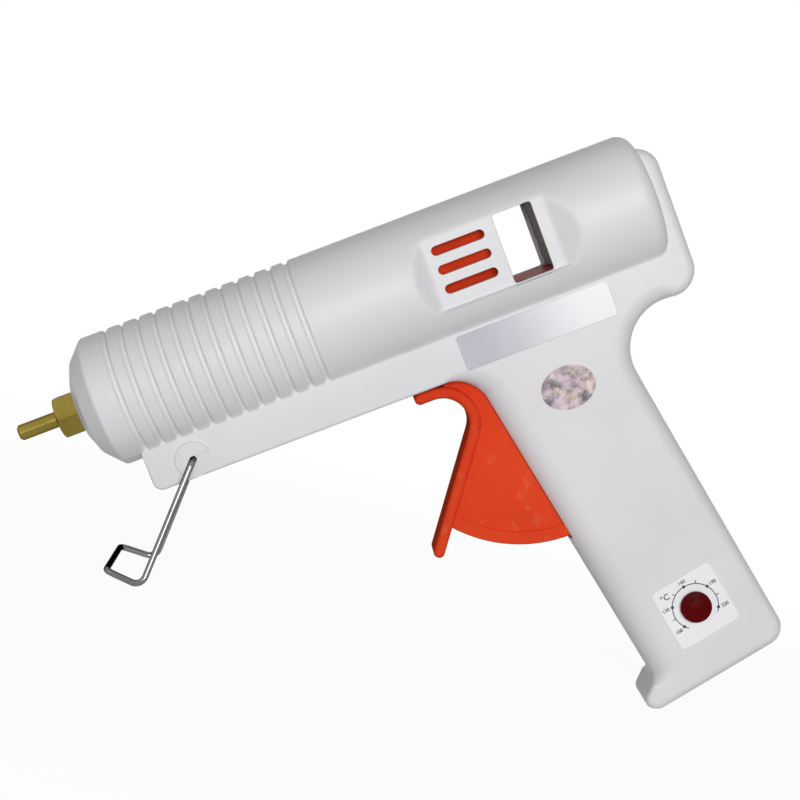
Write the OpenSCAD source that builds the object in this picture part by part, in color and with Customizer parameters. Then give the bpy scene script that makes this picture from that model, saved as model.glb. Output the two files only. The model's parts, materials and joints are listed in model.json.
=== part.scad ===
// Hot glue applicator with adjustable temperature, two-half moulded body and a folding wire stand.
// Everything is laid out on the barrel: x runs from the nose face to the rear, z up from the barrel axis,
// and y across, with the parting plane at y = 0. Each piece is then set down on the stand and the toe.

/* [Barrel] */
// Outside radius of the barrel
barrel_r = 20; // [18:0.5:23]
// Nose face to the rear end of the barrel
barrel_len = 180.5; // [175:0.5:192]
// Wall of the moulded shells
wall = 2.2; // [1.8:0.1:2.6]
// Outside radius of the flat nose face
nose_face_r = 9.5; // [9:0.1:11]
// Hole that the nozzle stands in
nose_hole_r = 7.6; // [7.2:0.1:8.4]
// Length of the blunt nose cone
nose_cone_len = 7.2; // [6:0.1:8]
// Rounding of the barrel's rear edge
rear_round = 4.6; // [3:0.1:6]

/* [Cooling grooves] */
// Number of grooves round the barrel
groove_count = 12; // [6:1:12]
// First groove's distance from the nose face
groove_first = 15; // [13:0.5:18]
// Distance from groove to groove
groove_pitch = 5.2; // [4.5:0.1:5.6]
// Width of a groove at its mouth
groove_w = 2; // [1.4:0.1:2.6]
// Depth of a groove
groove_d = 0.9; // [0.5:0.1:1.2]

/* [Handle] */
// Half the width across the keel, grip and spine
slab_half = 10.5; // [10:0.1:12]
// Front of the keel, from the nose face
keel_x = 13; // [10:0.5:18]
// Keel's underside below the barrel axis
keel_drop = 30.1; // [29.8:0.1:33]
// Front of the grip ahead of the barrel's rear end
grip_ahead = 68.6; // [66:0.1:70]
// Depth of the grip, front to rear, at its top
grip_depth = 44.1; // [43:0.1:48]
// Rake of the grip's front, degrees
rake_front = 10.8; // [8:0.1:13]
// Rake of the grip's rear, degrees
rake_rear = 9.9; // [8:0.1:12]
// Heel of the grip below the barrel axis
heel_drop = 138.9; // [134:0.1:145]
// Slope of the butt, degrees
butt_tilt = 10.4; // [9:0.1:12]
// Length of the butt, toe to heel
butt_len = 45.8; // [43:0.1:49]
// Where the toe starts, below the barrel axis
toe_drop = 137.2; // [135:0.1:138.5]
// Length of the toe's sloping front
toe_out = 8.9; // [8:0.1:10]
// Spine's rear face behind the barrel
spine_out = 5; // [4.5:0.1:8]
// Spine's top above the barrel axis
spine_top = 14.9; // [13:0.1:16]
// Rounding across the grip's front edge
edge_front = 8.5; // [6:0.1:9]
// Rounding across the grip's rear edge
edge_rear = 5.5; // [4:0.1:7]

/* [Window panel] */
// Depth of the flat panel into the barrel's side
panel_depth = 4; // [3:0.1:5]
// Length of the flat panel
panel_len = 38.3; // [37:0.1:42]
// Panel's lower ledge below the barrel axis
panel_ledge = 9.5; // [9:0.1:11]
// Width of the see-through window
window_w = 11.9; // [9:0.1:12]
// Height of the see-through window
window_h = 20.9; // [16:0.1:21]
// Length of a vent slot
vent_len = 16.2; // [12:0.1:17]
// Width of a vent slot
vent_w = 2.75; // [2:0.05:3.2]
// Distance from slot to slot
vent_pitch = 5.85; // [5:0.05:6]

/* [Nozzle and melt chamber] */
// Nozzle tube's radius
tip_r = 2.4; // [2:0.1:3]
// Nozzle tube's length in front of the hexagon
tip_len = 12.9; // [10:0.1:20]
// Hexagon across flats
hex_af = 12; // [11:0.5:12.5]
// Hexagon's length in front of the nose
hex_out = 7.2; // [5:0.1:10]
// Radius of the glue stick that it takes
stick_r = 5.6; // [5.4:0.05:5.7]
// Melt chamber's outside radius
chamber_r = 11; // [10.5:0.1:11.4]
// Melt chamber's body length
chamber_len = 50; // [48:0.5:51]

/* [Trigger and feed] */
// Trigger pivot below the barrel axis
pivot_drop = 44.5; // [44:0.1:46]
// Outside radius of the trigger's rim
rim_r = 42.75; // [40:0.25:43]
// Trigger's pull, degrees
trigger_pull = 24; // [16:1:24]
// Half the width of the finger bar
bar_half = 7.5; // [6:0.5:9]
// Thickness of the finger bar
bar_t = 3.4; // [2.8:0.1:3.6]
// Trigger pin's radius
pivot_pin_r = 2; // [1.5:0.1:2.4]

/* [Wire stand] */
// Wire's radius
wire_r = 0.95; // [0.8:0.05:1.3]
// Stand pivot behind the nose face
stand_x = 26.8; // [25:0.1:34]
// Stand pivot below the barrel axis
stand_drop = 24.6; // [24:0.1:25.2]
// Leg's length, pivot to bend
stand_leg = 38.8; // [34:0.1:42]
// Leg's lean ahead of the plumb line from the barrel, degrees
stand_lean = 43; // [38:0.5:46]
// Length of the turned-up foot
stand_foot = 11.4; // [9:0.1:14]
// Half the width across the bends
stand_half = 20.4; // [19:0.1:23]
// Half the width across the front bar
front_half = 17.5; // [16:0.1:19]

/* [Temperature dial] */
// Knob's radius
knob_r = 4.7; // [4:0.1:5]
// Knob's height above its plate
knob_h = 2.6; // [2:0.1:4]
// Dial plate's width along the butt
dial_w = 20.4; // [16:0.1:21]
// Dial plate's height along the grip
dial_h = 20; // [16:0.1:21]

/* [Hidden] */
$fn = 48;
run_gap = 0.3;      // between pieces that move past each other
fit_gap = 0.05;     // round a seated piece, on the radius
sink = 0.6;         // how far a rib runs into the wall that carries it
past = 1;           // how far a cut runs past a face

inner_r = barrel_r - wall;
spine_x = barrel_len + spine_out;
grip_x = barrel_len - grip_ahead;
grip_rear_x = grip_x + grip_depth;
slab_in = slab_half - wall;
edge_keel = 0.8;
edge_toe = 2;
edge_spine = 3.5;
edge_heel = 3;

// Points of the handle's side view
heel = [grip_rear_x + (heel_drop - keel_drop) * tan(rake_rear), -heel_drop];
toe = heel - butt_len * [cos(butt_tilt), sin(butt_tilt)];
toe_neck = [grip_x + (toe_drop - keel_drop) * tan(rake_front), -toe_drop];
toe_tip = toe_neck - toe_out * [cos(44.5), sin(44.5)];
toe_r = 4.6;
buried_z = -10;     // top of the keel, inside the barrel
buried_x = barrel_len - 30;
// Corner: x, z, radius, and the rounding across the edge where its arc starts and ends
handle_corners = [
    [keel_x, buried_z, 0, edge_keel, edge_keel],
    [keel_x, -keel_drop, max(3, wall + edge_keel), edge_keel, edge_keel],
    [grip_x, -keel_drop, 10, edge_keel, edge_front],
    [toe_neck[0], toe_neck[1], 3, edge_front, edge_toe],
    [toe_tip[0], toe_tip[1], wall + 0.7, edge_toe, edge_toe + 0.6],
    [toe[0], toe[1], toe_r, edge_toe + 0.6, edge_heel],
    [heel[0], heel[1], 6, edge_heel, edge_heel],
    [grip_rear_x, -keel_drop, 15, edge_rear, edge_rear],
    [spine_x, -keel_drop, wall + edge_heel + 2.8, edge_heel, edge_heel],
    [spine_x, spine_top, wall + edge_spine + 1.3, edge_spine, edge_spine],
    [buried_x, spine_top, 0, edge_spine, edge_spine],
    [buried_x, buried_z, 0, edge_keel, edge_keel]];

// Panel, window and vents hang on the trigger pivot's place
pivot_x = grip_x + 11.5;
panel_x = pivot_x - 12.4;
panel_end = panel_x + panel_len;
panel_y = barrel_r - panel_depth;
panel_in = panel_y - wall;
ramp_front = 5.1;
ramp_rear = 6.5;
window_end = panel_end - 4;
window_x = window_end - window_w;
window_z = 0.3 - panel_ledge;
vent_x = pivot_x - 1.7;
vent_z = 1.9;
vent_count = 3;

// Pieces along the barrel
nose_wall = 2.4;
chamber_x = nose_wall + 0.2;
neck_r = chamber_r - 1.9;
seat_x = nose_wall + 4.5;
seat_r = chamber_r + 3;
shoulder_x = seat_x + 5.1;
chamber_end = shoulder_x + chamber_len;
spigot_len = 12;
spigot_r = stick_r + 2;
bore_r = stick_r + 0.4;
outlet_r = 1.8;
thread_r = 5;
ring_w = 6;
ring_x = chamber_end - ring_w + 2;
flat_z = chamber_r - 2;
pack_t = 0.378 * flat_z;
rib_h = 1.4;
pack_half = 0.9 * flat_z;
pack_x = shoulder_x + 7;
pack_len = chamber_len - 16;
band_t = 0.6;
band_w = 6;
band_r = norm([pack_half, flat_z + pack_t]) + 0.3;

// Feed drive
drive_h = 30;
drive_lean = trigger_pull / 2;
drive_x = pivot_x + drive_h * tan(drive_lean);
drive_z = drive_h - pivot_drop;
stroke = 2 * drive_h * tan(drive_lean);
drive_r = 1.5;
carriage_x = pivot_x - 11.4;
carriage_end = carriage_x + 19;
carriage_half = 11;
carriage_top = 11;
tray_top = -panel_ledge + 0.1;
tray_z = tray_top - 2.6;
tray_half = 12;
tray_end = drive_x + 22;
lug_in = 4.4;
lug_out = 7.4;
arm_half = 4;
arm_end = pivot_drop + tray_z - run_gap;
jaw_half = 3.9;
jaw_pin_r = 1.25;
jaw_at = [carriage_x + 14, bore_r + 3];
spring_z = inner_r - 3.3;
spring_wire = 0.4;
spring_post = barrel_len - 11;
web_half = 4.6;
rim_half = 5.4;
slot_half = rim_half + 0.4;
hub_r = 4.6;
hub_half = 6;
sleeve_end = carriage_x - stroke - 2.7;

// Stand: a leg, then a foot square to it, both in the barrel's side view
leg_dir = [-sin(stand_lean), -cos(stand_lean)];
foot_dir = [-cos(stand_lean), sin(stand_lean)];
bend_r = 3;
stand_at = [stand_x, -stand_drop];
leg_y = slab_half + run_gap + wire_r;
hook_end = 5;
stand_bend = stand_at + stand_leg * leg_dir;
stand_front = stand_bend + stand_foot * foot_dir;
fold_angle = 90 + stand_lean;
boss_r = 5.4;
boss_h = 1.2;

// Dial and board, on axes square to the butt
dial_at = [grip_x + 39.2, 19 - heel_drop];
butt_z = along_grip(heel)[1];
board_y = 0.5;
board_t = 1.6;
plate_t = 0.5;
seal_t = 0.15;
label_x = pivot_x - 11.65;
label_z = 1.2 - keel_drop;
label_len = 47.35;
label_h = 10.6;
label_t = 0.25;
label_sink = 0.2;
cord_x = 4;
clamp_reach = 8.4;
clamp_z = butt_z + 8.2;
cord_r = 3.6;

screw_spots = [[48, 5.1 - keel_drop], [grip_x - 19.9, 5.1 - keel_drop],
    [barrel_len - 2.5, 7.1 - keel_drop], [grip_x + 38.5, -58],
    [heel[0] - 7.2, 13.3 - heel_drop], [heel[0] - 34.9, 2.5 - heel_drop]];
screw_r = 1.4;
screw_head_r = 2.8;

// Resting on the wire's bends and the toe: the tilt whose floor line touches both round corners
toe_centre = arc_centre(toe_tip, toe, heel, toe_r);
bend_centre = stand_bend + bend_r * (foot_dir - leg_dir);
rest_span = toe_centre - bend_centre;
rest_step = toe_r - bend_r - wire_r;
rest_tilt = asin(rest_step / norm(rest_span)) - atan2(rest_span[1], rest_span[0]);
floor_z = along_floor(toe_centre)[1] - toe_r;
heel_centre = arc_centre(toe, heel, [grip_rear_x, -keel_drop], 6);
front_x = along_floor([-hex_out - tip_len, tip_r - 0.6])[0];
rear_x = along_floor(heel_centre)[0] + 6;
centre_x = (front_x + rear_x) / 2;

function along_floor(p) = [p[0] * cos(rest_tilt) - p[1] * sin(rest_tilt),
    p[0] * sin(rest_tilt) + p[1] * cos(rest_tilt)];
function along_grip(p) = let (d = p - dial_at)
    [d[0] * cos(butt_tilt) + d[1] * sin(butt_tilt), d[1] * cos(butt_tilt) - d[0] * sin(butt_tilt)];

// Outlines with rounded corners
function unit(v) = v / norm(v);
function left_of(v) = [-v[1], v[0]];
function turned(v, a) = [v[0] * cos(a) - v[1] * sin(a), v[0] * sin(a) + v[1] * cos(a)];
function cross2(a, b) = a[0] * b[1] - a[1] * b[0];
function flat(p) = [p[0], p[1]];
function arc_centre(a, b, c, r) = let (u = unit(b - a), v = unit(c - b))
    b - u * r * tan(acos(u * v) / 2) + sign(cross2(u, v)) * r * left_of(u);
// A corner's points, each with its inward normal and edge rounding
function corner(a, b, c, step) =
    let (u = unit(flat(b) - flat(a)), v = unit(flat(c) - flat(b)), phi = acos(max(-1, min(1, u * v))))
    b[2] == 0
    ? let (n = (left_of(u) + left_of(v)) / (1 + u * v)) [[b[0], b[1], n[0], n[1], b[3]]]
    : let (side = sign(cross2(u, v)), m = arc_centre(flat(a), flat(b), flat(c), b[2]),
        start = flat(b) - u * b[2] * tan(phi / 2), count = max(2, ceil(phi / step)))
      [for (k = [0 : count])
        let (turn = side * phi * k / count, p = m + turned(start - m, turn), n = left_of(turned(u, turn)))
        [p[0], p[1], n[0], n[1], b[3] + (b[4] - b[3]) * k / count]];
function outline(corners, step) = let (n = len(corners))
    [for (i = [0 : n - 1]) each corner(corners[(i + n - 1) % n], corners[i], corners[(i + 1) % n], step)];
function rounded(corners, step = 15) =
    [for (p = outline([for (c = corners) [c[0], c[1], c[2], 0, 0]], step)) flat(p)];
function box_corners(x0, z0, x1, z1, r) = [[x0, z0, r], [x1, z0, r], [x1, z1, r], [x0, z1, r]];

// Triangles of a flat outline, one ear at a time
function in_triangle(p, a, b, c) =
    cross2(b - a, p - a) > -1e-9 && cross2(c - b, p - b) > -1e-9 && cross2(a - c, p - c) > -1e-9;
function is_ear(q, ids, k) = let (n = len(ids), a = ids[(k + n - 1) % n], b = ids[k], c = ids[(k + 1) % n])
    cross2(q[b] - q[a], q[c] - q[b]) > 1e-6
    && len([for (m = ids) if (m != a && m != b && m != c && in_triangle(q[m], q[a], q[b], q[c])) m]) == 0;
function first_ear(q, ids, k = 0) = k >= len(ids) - 1 || is_ear(q, ids, k) ? k : first_ear(q, ids, k + 1);
function ears(q, ids) = len(ids) == 3 ? [ids] : let (n = len(ids), k = first_ear(q, ids))
    concat([[ids[(k + n - 1) % n], ids[k], ids[(k + 1) % n]]],
        ears(q, [for (i = [0 : n - 1]) if (i != k) ids[i]]));

// Tubes along a path
function heading(p, i) = unit(p[min(i + 1, len(p) - 1)] - p[max(i - 1, 0)]);
function across(n, t) = unit(n - (n * t) * t);
function normals(p) = [for (i = 0, n = across([0.3, 0.8, 0.5], heading(p, 0)); i < len(p);
    i = i + 1, n = i < len(p) ? across(n, heading(p, i)) : n) n];
// Helix along x with straight legs on its axis
function coil(x0, x1, r, turns, leg, z) = let (steps = 8 * turns, lead = 4)
    concat([[x0 - leg, 0, z]],
        [for (k = [0 : steps]) let (a = 360 * k / 8, s = r * min(1, k / lead, (steps - k) / lead))
            [x0 + (x1 - x0) * k / steps, s * sin(a), z + s * cos(a)]],
        [[x1 + leg, 0, z]]);
function coil_gap(p, r) = min([for (i = [5 : len(p) - 14]) norm(p[i + 8] - p[i])]) - 2 * r;

// Shapes
module set_down() {
    translate([-centre_x, 0, -floor_z]) rotate([0, -rest_tilt, 0]) children();
}

module rod_x(x0, x1, r) {
    translate([x0, 0, 0]) rotate([0, 90, 0]) cylinder(h = x1 - x0, r = r);
}

module rod_y(at, y0, y1, r) {
    translate([at[0], y0, at[1]]) rotate([-90, 0, 0]) cylinder(h = y1 - y0, r = r);
}

module block(x0, x1, y0, y1, z0, z1) {
    translate([x0, y0, z0]) cube([x1 - x0, y1 - y0, z1 - z0]);
}

module side_plate(points, y0, y1) {
    translate([0, y1, 0]) rotate([90, 0, 0]) linear_extrude(y1 - y0) polygon(points);
}

module turned_x(points) {
    rotate([0, 90, 0]) rotate_extrude() polygon([for (p = points) [p[1], p[0]]]);
}

module half_turned_x(points) {
    rotate([0, 90, 0]) rotate([0, 0, 180])
        rotate_extrude(angle = 180) polygon([for (p = points) [p[1], p[0]]]);
}

module tube(p, r, sides) {
    n = normals(p);
    rings = len(p);
    ring = [for (i = [0 : rings - 1], k = [0 : sides - 1]) let (t = heading(p, i), a = 360 * k / sides)
        p[i] + r * (cos(a) * n[i] + sin(a) * cross(t, n[i]))];
    skin = [for (i = [0 : rings - 2], k = [0 : sides - 1])
        let (a = i * sides + k, b = i * sides + (k + 1) % sides, c = b + sides, d = a + sides)
        each [[a, d, c], [a, c, b]]];
    caps = [for (k = [1 : sides - 2]) each [[0, k, k + 1],
        [ring_start(rings, sides), ring_start(rings, sides) + k + 1,
        ring_start(rings, sides) + k]]];
    polyhedron(points = ring, faces = concat(skin, caps));
}

function ring_start(rings, sides) = (rings - 1) * sides;

// Wire with true round bends through the given points
// A rod runs a little into the bend, which is a hair thicker
module bent_wire(p, r, bend) {
    last = len(p) - 1;
    lap = 0.1;
    skin = 0.02;
    trims = [for (i = [0 : last]) i == 0 || i == last ? lap
        : bend * tan(acos(unit(p[i] - p[i - 1]) * unit(p[i + 1] - p[i])) / 2)];
    for (i = [0 : last - 1]) {
        u = unit(p[i + 1] - p[i]);
        n = across([0.3, 0.8, 0.5], u);
        length = norm(p[i + 1] - p[i]) - trims[i] - trims[i + 1] + 2 * lap;
        multmatrix(axes(n, cross(u, n), u, p[i] + u * (trims[i] - lap))) cylinder(h = length, r = r);
    }
    for (i = [1 : last - 1]) {
        u = unit(p[i] - p[i - 1]);
        v = unit(p[i + 1] - p[i]);
        n = across(v, u);
        multmatrix(axes(-n, u, cross(u, n), p[i] - u * trims[i] + bend * n))
            rotate_extrude(angle = acos(u * v)) translate([bend, 0]) circle(r + skin);
    }
}

function axes(x, y, z, at) = [[x[0], y[0], z[0], at[0]], [x[1], y[1], z[1], at[1]], [x[2], y[2], z[2], at[2]],
    [0, 0, 0, 1]];

module on_dial() {
    translate([dial_at[0], 0, dial_at[1]]) rotate([0, -butt_tilt, 0]) children();
}

// One side of the keel, grip and spine, from the plane y = reach to its flat face, with rounded edges
module slab_side(inset, half, reach) {
    steps = 4;
    o = outline(handle_corners, 12);
    n = len(o);
    turns = [0, for (j = [0 : steps]) 90 * j / steps];
    points = [for (j = [0 : steps + 1], p = o)
        let (e = max(p[4] - inset, 0.4), d = inset + e * (1 - cos(turns[j])))
        [p[0] + p[2] * d, j == 0 ? reach : e - half - e * sin(turns[j]), p[1] + p[3] * d]];
    skin = [for (j = [0 : steps], i = [0 : n - 1])
        let (a = j * n + i, b = j * n + (i + 1) % n, c = b + n, d = a + n) each [[a, d, c], [a, c, b]]];
    ids = [for (i = [0 : n - 1]) i];
    first = (steps + 1) * n;
    back = ears([for (i = ids) [points[i][0], points[i][2]]], ids);
    front = ears([for (i = ids) [points[first + i][0], points[first + i][2]]], ids);
    polyhedron(points = points,
        faces = concat(skin, back, [for (f = front) [first + f[2], first + f[1], first + f[0]]]));
}

function groove(x) = let (s = 0.25)
    [[x - groove_w / 2, barrel_r, 0], [x - groove_w / 2 + s, barrel_r - groove_d, 0],
    [x + groove_w / 2 - s, barrel_r - groove_d, 0], [x + groove_w / 2, barrel_r, 0]];

// The nose is steep at first and then runs out at about half a right angle
nose_bulge = [0.3 * nose_cone_len, (nose_face_r + barrel_r) / 2, 3];

module barrel_half() {
    half_turned_x(rounded(concat([[0, 0, 0], [0, nose_face_r, 0.8], nose_bulge, [nose_cone_len, barrel_r, 1.5]],
        [for (i = [0 : groove_count - 1]) each groove(groove_first + i * groove_pitch)],
        [[barrel_len, barrel_r, rear_round], [barrel_len, 0, 0]])));
}

// Outline of the flat panel seen from above, grown inwards by the wall where a backing is wanted
module panel_prism(y, shift, z0) {
    out = barrel_r + 5;
    lean = out - y;
    translate([0, 0, z0]) linear_extrude(barrel_r + past - z0) polygon([
        [panel_x - shift, -y], [panel_end + shift, -y],
        [panel_end + shift + ramp_rear * lean / panel_depth, -out],
        [panel_x - shift - ramp_front * lean / panel_depth, -out]]);
}

module barrel_cavity() {
    difference() {
        turned_x([[nose_wall, 0], [nose_wall, neck_r + 0.7], [seat_x, neck_r + 0.7],
            [seat_x, seat_r + fit_gap],
            [shoulder_x + 1, seat_r + fit_gap], [shoulder_x + 1, inner_r], [barrel_len - wall, inner_r],
            [barrel_len - wall, 0]]);
        panel_prism(panel_in, 0.9, -panel_ledge - wall);
    }
}

// Raised half round at the stand's pivot, cut back where the leg swings, so that its edges stop the leg
module stand_boss() {
    side = wire_r + 0.15;
    reach = boss_r + past;
    fold = turned(leg_dir, fold_angle);
    mid = turned(leg_dir, fold_angle / 2);
    difference() {
        rod_y(stand_at, -slab_half - boss_h, -slab_half + sink, boss_r);
        translate([stand_x, 0, -stand_drop])
            side_plate([-side / sin(fold_angle / 2) * mid, reach * leg_dir - side * left_of(leg_dir),
                2 * reach * mid, reach * fold + side * left_of(fold)],
                -slab_half - boss_h - past, -slab_half);
    }
}

// Pieces of a half that stand inside it, for the side where y is negative
module inner_ribs() {
    ring_ribs = [ring_x - 1.8, ring_x + ring_w + 0.2];
    for (x = ring_ribs)
        half_turned_x([[x, inner_r - rib_h], [x + 1.6, inner_r - rib_h],
            [x + 1.6, inner_r + sink], [x, inner_r + sink]]);
    intersection() {
        half_turned_x([[window_end + 1.1, 0], [window_end + 2.7, 0], [window_end + 2.7, inner_r + sink],
            [window_end + 1.1, inner_r + sink]]);
        block(window_end, window_end + 4, -panel_in - sink, 0, tray_top + run_gap, 12.2);
    }
    rail_out = sqrt(pow(inner_r + sink, 2) - pow(tray_z - run_gap - 1.6, 2));
    block(carriage_x - stroke - 1, panel_end + 5, -rail_out, -8.6, tray_z - run_gap - 1.6, tray_z - run_gap);
    guide_z = carriage_top + run_gap;
    guide_out = sqrt(pow(inner_r + sink, 2) - pow(guide_z + 1.5, 2));
    block(carriage_x - stroke - 1, window_x - 1.4, -guide_out, -8.5, guide_z, guide_z + 1.5);
    rod_y([pivot_x, -pivot_drop], -slab_half + 0.6, -hub_half - run_gap, 4.2);
    rod_y(stand_at, -slab_half + 0.6, -hook_end + 0.6, 3);
    post_out = sqrt(pow(inner_r, 2) - pow(spring_z, 2)) + sink;
    block(spring_post, spring_post + 2, -post_out, 0, spring_z - 2.4, spring_z + 2.4);
    for (s = screw_spots) rod_y(s, -slab_in - sink, 0, 3.4);
}

// What both halves have, for the side where y is negative
module half_shell() {
    difference() {
        union() {
            difference() {
                union() {
                    barrel_half();
                    slab_side(0, slab_half, 0);
                    stand_boss();
                }
                panel_prism(panel_y, 0, -panel_ledge);
                barrel_cavity();
                slab_side(wall, slab_in, past);
            }
            inner_ribs();
        }
        side_plate(rounded(box_corners(window_x, window_z, window_end, window_z + window_h, 0.6)),
            -barrel_r, -panel_in + 3.8);
        for (i = [0 : vent_count - 1]) {
            z = vent_z + (1 - i) * vent_pitch;
            side_plate(rounded(box_corners(vent_x - vent_len / 2, z - vent_w / 2, vent_x + vent_len / 2,
                z + vent_w / 2, vent_w / 2 - 0.01), 20), -barrel_r, -panel_in + past);
        }
        rod_x(-past, nose_wall + past, nose_hole_r);
        rod_x(spine_x - wall - past, spine_x + past, stick_r + 2.4 + fit_gap);
        block(grip_x - 12, grip_x + 8.5, -slot_half, past, -keel_drop - 6, -keel_drop + wall + 0.1);
        side_plate([[grip_x - 5, -keel_drop], [grip_x + 6, -keel_drop],
            [pivot_x + 4.6, -pivot_drop - rim_r - 1], [grip_x - 5, -pivot_drop - rim_r - 1]],
            -slot_half, past);
        rod_y([pivot_x, -pivot_drop], -slab_half + 0.7, past, pivot_pin_r + fit_gap);
        rod_y(stand_at, -slab_half - boss_h - past, -hook_end + 0.2, wire_r + 0.06);
        rod_y(stand_at, -slab_half - boss_h - past, -slab_half + 1.8, wire_r + 0.6);
        translate([spring_post - past, 0, spring_z]) rod_x(0, 2 + 2 * past, 0.9);
        on_dial() translate([cord_x, 0, butt_z - past]) cylinder(h = wall + 2 * past, r = 5.2 + fit_gap);
    }
}

// Stand-offs that hold the control board between the halves
module board_posts(y0, y1) {
    on_dial() for (p = [[-10, -4.5], [7, 24.5]]) rod_y(p, y0, y1, 2);
}

module left_shell() {
    color("whitesmoke") set_down() difference() {
        union() {
            half_shell();
            board_posts(-slab_in - sink, board_y);
        }
        for (s = screw_spots) rod_y(s, -7.6, past, screw_r + fit_gap);
        on_dial() rod_y([0, 0], -slab_half - past, -slab_in + past, knob_r - 0.7 + run_gap);
        side_plate(name_outline(fit_gap), -slab_half - past, -slab_half + label_sink);
    }
}

module right_shell() {
    color("whitesmoke") set_down() difference() {
        union() {
            mirror([0, 1, 0]) half_shell();
            board_posts(board_y + board_t, slab_in + sink);
            on_dial() for (x = [-clamp_reach, clamp_reach])
                rod_y([cord_x + x, clamp_z], 2, slab_in + sink, 2.4);
        }
        for (s = screw_spots) {
            rod_y(s, -past, slab_half + past, screw_r + 0.3);
            rod_y(s, 4.5, slab_half + past, screw_head_r + 0.3);
        }
        on_dial() for (x = [-clamp_reach, clamp_reach]) rod_y([cord_x + x, clamp_z], 1, 7, 1.2 + fit_gap);
    }
}

module housing_screws() {
    color("silver") set_down() for (s = screw_spots) difference() {
        union() {
            rod_y(s, -6.6, 4.6, screw_r);
            rod_y(s, 4.5, 6.3, screw_head_r);
        }
        for (w = [[1.7, 0.3], [0.3, 1.7]])
            translate([s[0], 0, s[1]]) block(-w[0], w[0], 5.4, 7, -w[1], w[1]);
    }
}

function name_outline(grow) = rounded(box_corners(label_x - grow, label_z - grow,
    label_x + label_len + grow, label_z + label_h + grow, 1));

module name_plate() {
    back = -slab_half + label_sink;
    color("silver") set_down() side_plate(name_outline(0), back - label_t, back);
}

module dial_plate() {
    color("white") set_down() on_dial() difference() {
        side_plate(rounded(box_corners(-dial_w / 2, -dial_h / 2, dial_w / 2, dial_h / 2, 1.6)),
            -slab_half - plate_t, -slab_half);
        rod_y([0, 0], -slab_half - past, -slab_half + past, knob_r - 0.7 + run_gap);
    }
}

module oval_seal() {
    long = 8.3;
    short = 6.5;
    color("thistle") set_down() translate([pivot_x + 14.5, 0, -44])
        side_plate([for (a = [0 : 10 : 350]) [long * cos(a), short * sin(a)]],
            -slab_half - seal_t, -slab_half);
}

// Brass nozzle: tube, hexagon with a corner to each side, and the thread that screws into the chamber
module nozzle() {
    tip_x = -hex_out - tip_len;
    cage_r = 3;
    cage_x = -hex_out + 1;
    color("goldenrod") set_down() difference() {
        union() {
            turned_x([[tip_x, 0], [tip_x, tip_r - 0.6], [tip_x + 0.6, tip_r],
                [-hex_out + 1, tip_r], [-hex_out + 1, 0]]);
            translate([-hex_out, 0, 0]) rotate([0, 90, 0]) rotate([0, 0, 30])
                cylinder(h = hex_out + chamber_x, r = hex_af / sqrt(3), $fn = 6);
            rod_x(chamber_x - 0.1, shoulder_x - 0.2, thread_r);
        }
        rod_x(tip_x - past, cage_x + 0.1, 1.2);
        rod_x(cage_x, shoulder_x, cage_r);
    }
}

ball_r = 2.4;
ball_x = shoulder_x - sqrt(ball_r * ball_r - outlet_r * outlet_r) - 0.02;

module valve_ball() {
    color("silver") set_down() translate([ball_x, 0, 0]) sphere(ball_r);
}

module valve_spring() {
    first = -hex_out + 2.2;
    last = ball_x - ball_r - 1;
    color("silver") set_down() tube(coil(first, last, 2.2, 9, 0.7, 0), 0.3, 6);
}

// Aluminium chamber: stick bore, cone down to the outlet, thread seat and flats for the heaters
module melt_chamber() {
    cone_x = shoulder_x + 4;
    color("lightgray") set_down() difference() {
        union() {
            rod_x(chamber_x, shoulder_x, neck_r);
            rod_x(shoulder_x, chamber_end, chamber_r);
            rod_x(chamber_end - 1, chamber_end + spigot_len, spigot_r);
        }
        rod_x(chamber_x - past, shoulder_x, thread_r + fit_gap);
        turned_x([[shoulder_x - past, 0], [shoulder_x - past, outlet_r], [cone_x, outlet_r],
            [cone_x + 17, bore_r], [cone_x + 17, 0]]);
        rod_x(cone_x + 16.9, chamber_end + spigot_len + past, bore_r);
        for (s = [0, 1]) mirror([0, 0, s])
            block(pack_x - 2, pack_x + pack_len + 2, -barrel_r, barrel_r, flat_z, barrel_r);
        rod_y([pack_x + pack_len / 2, 0], chamber_r - 3.4, chamber_r + past, 1.5 + fit_gap);
    }
}

module heater_plates() {
    color("peru") set_down() for (s = [0, 1]) mirror([0, 0, s])
        block(pack_x, pack_x + pack_len, -pack_half, pack_half, flat_z, flat_z + pack_t);
}

// Sprung steel bands that press the heaters on the chamber's flats
module heater_clamps() {
    z = flat_z + pack_t + 0.02;
    y = chamber_r + 0.2;
    color("gray") set_down() for (x = [pack_x + 3, pack_x + pack_len - 3 - band_w])
        side_rings(x, y, z);
}

module side_rings(x, y, z) {
    difference() {
        intersection() {
            block(x, x + band_w, -y - band_t, y + band_t, -z - band_t, z + band_t);
            rod_x(x - past, x + band_w + past, band_r + band_t);
        }
        intersection() {
            block(x - past, x + band_w + past, -y, y, -z, z);
            rod_x(x - 2 * past, x + band_w + 2 * past, band_r);
        }
    }
}

module thermistor() {
    color("sienna") set_down() rod_y([pack_x + pack_len / 2, 0], chamber_r - 3.3, chamber_r + 1.6, 1.5);
}

module ring_x_piece(x0, x1, r_in, r_out) {
    difference() {
        rod_x(x0, x1, r_out);
        rod_x(x0 - past, x1 + past, r_in);
    }
}

module front_insulator() {
    color("wheat") set_down() ring_x_piece(seat_x, shoulder_x, neck_r + fit_gap, seat_r);
}

module rear_insulator() {
    color("wheat") set_down() ring_x_piece(ring_x, ring_x + ring_w, chamber_r + fit_gap, inner_r - fit_gap);
}

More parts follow.
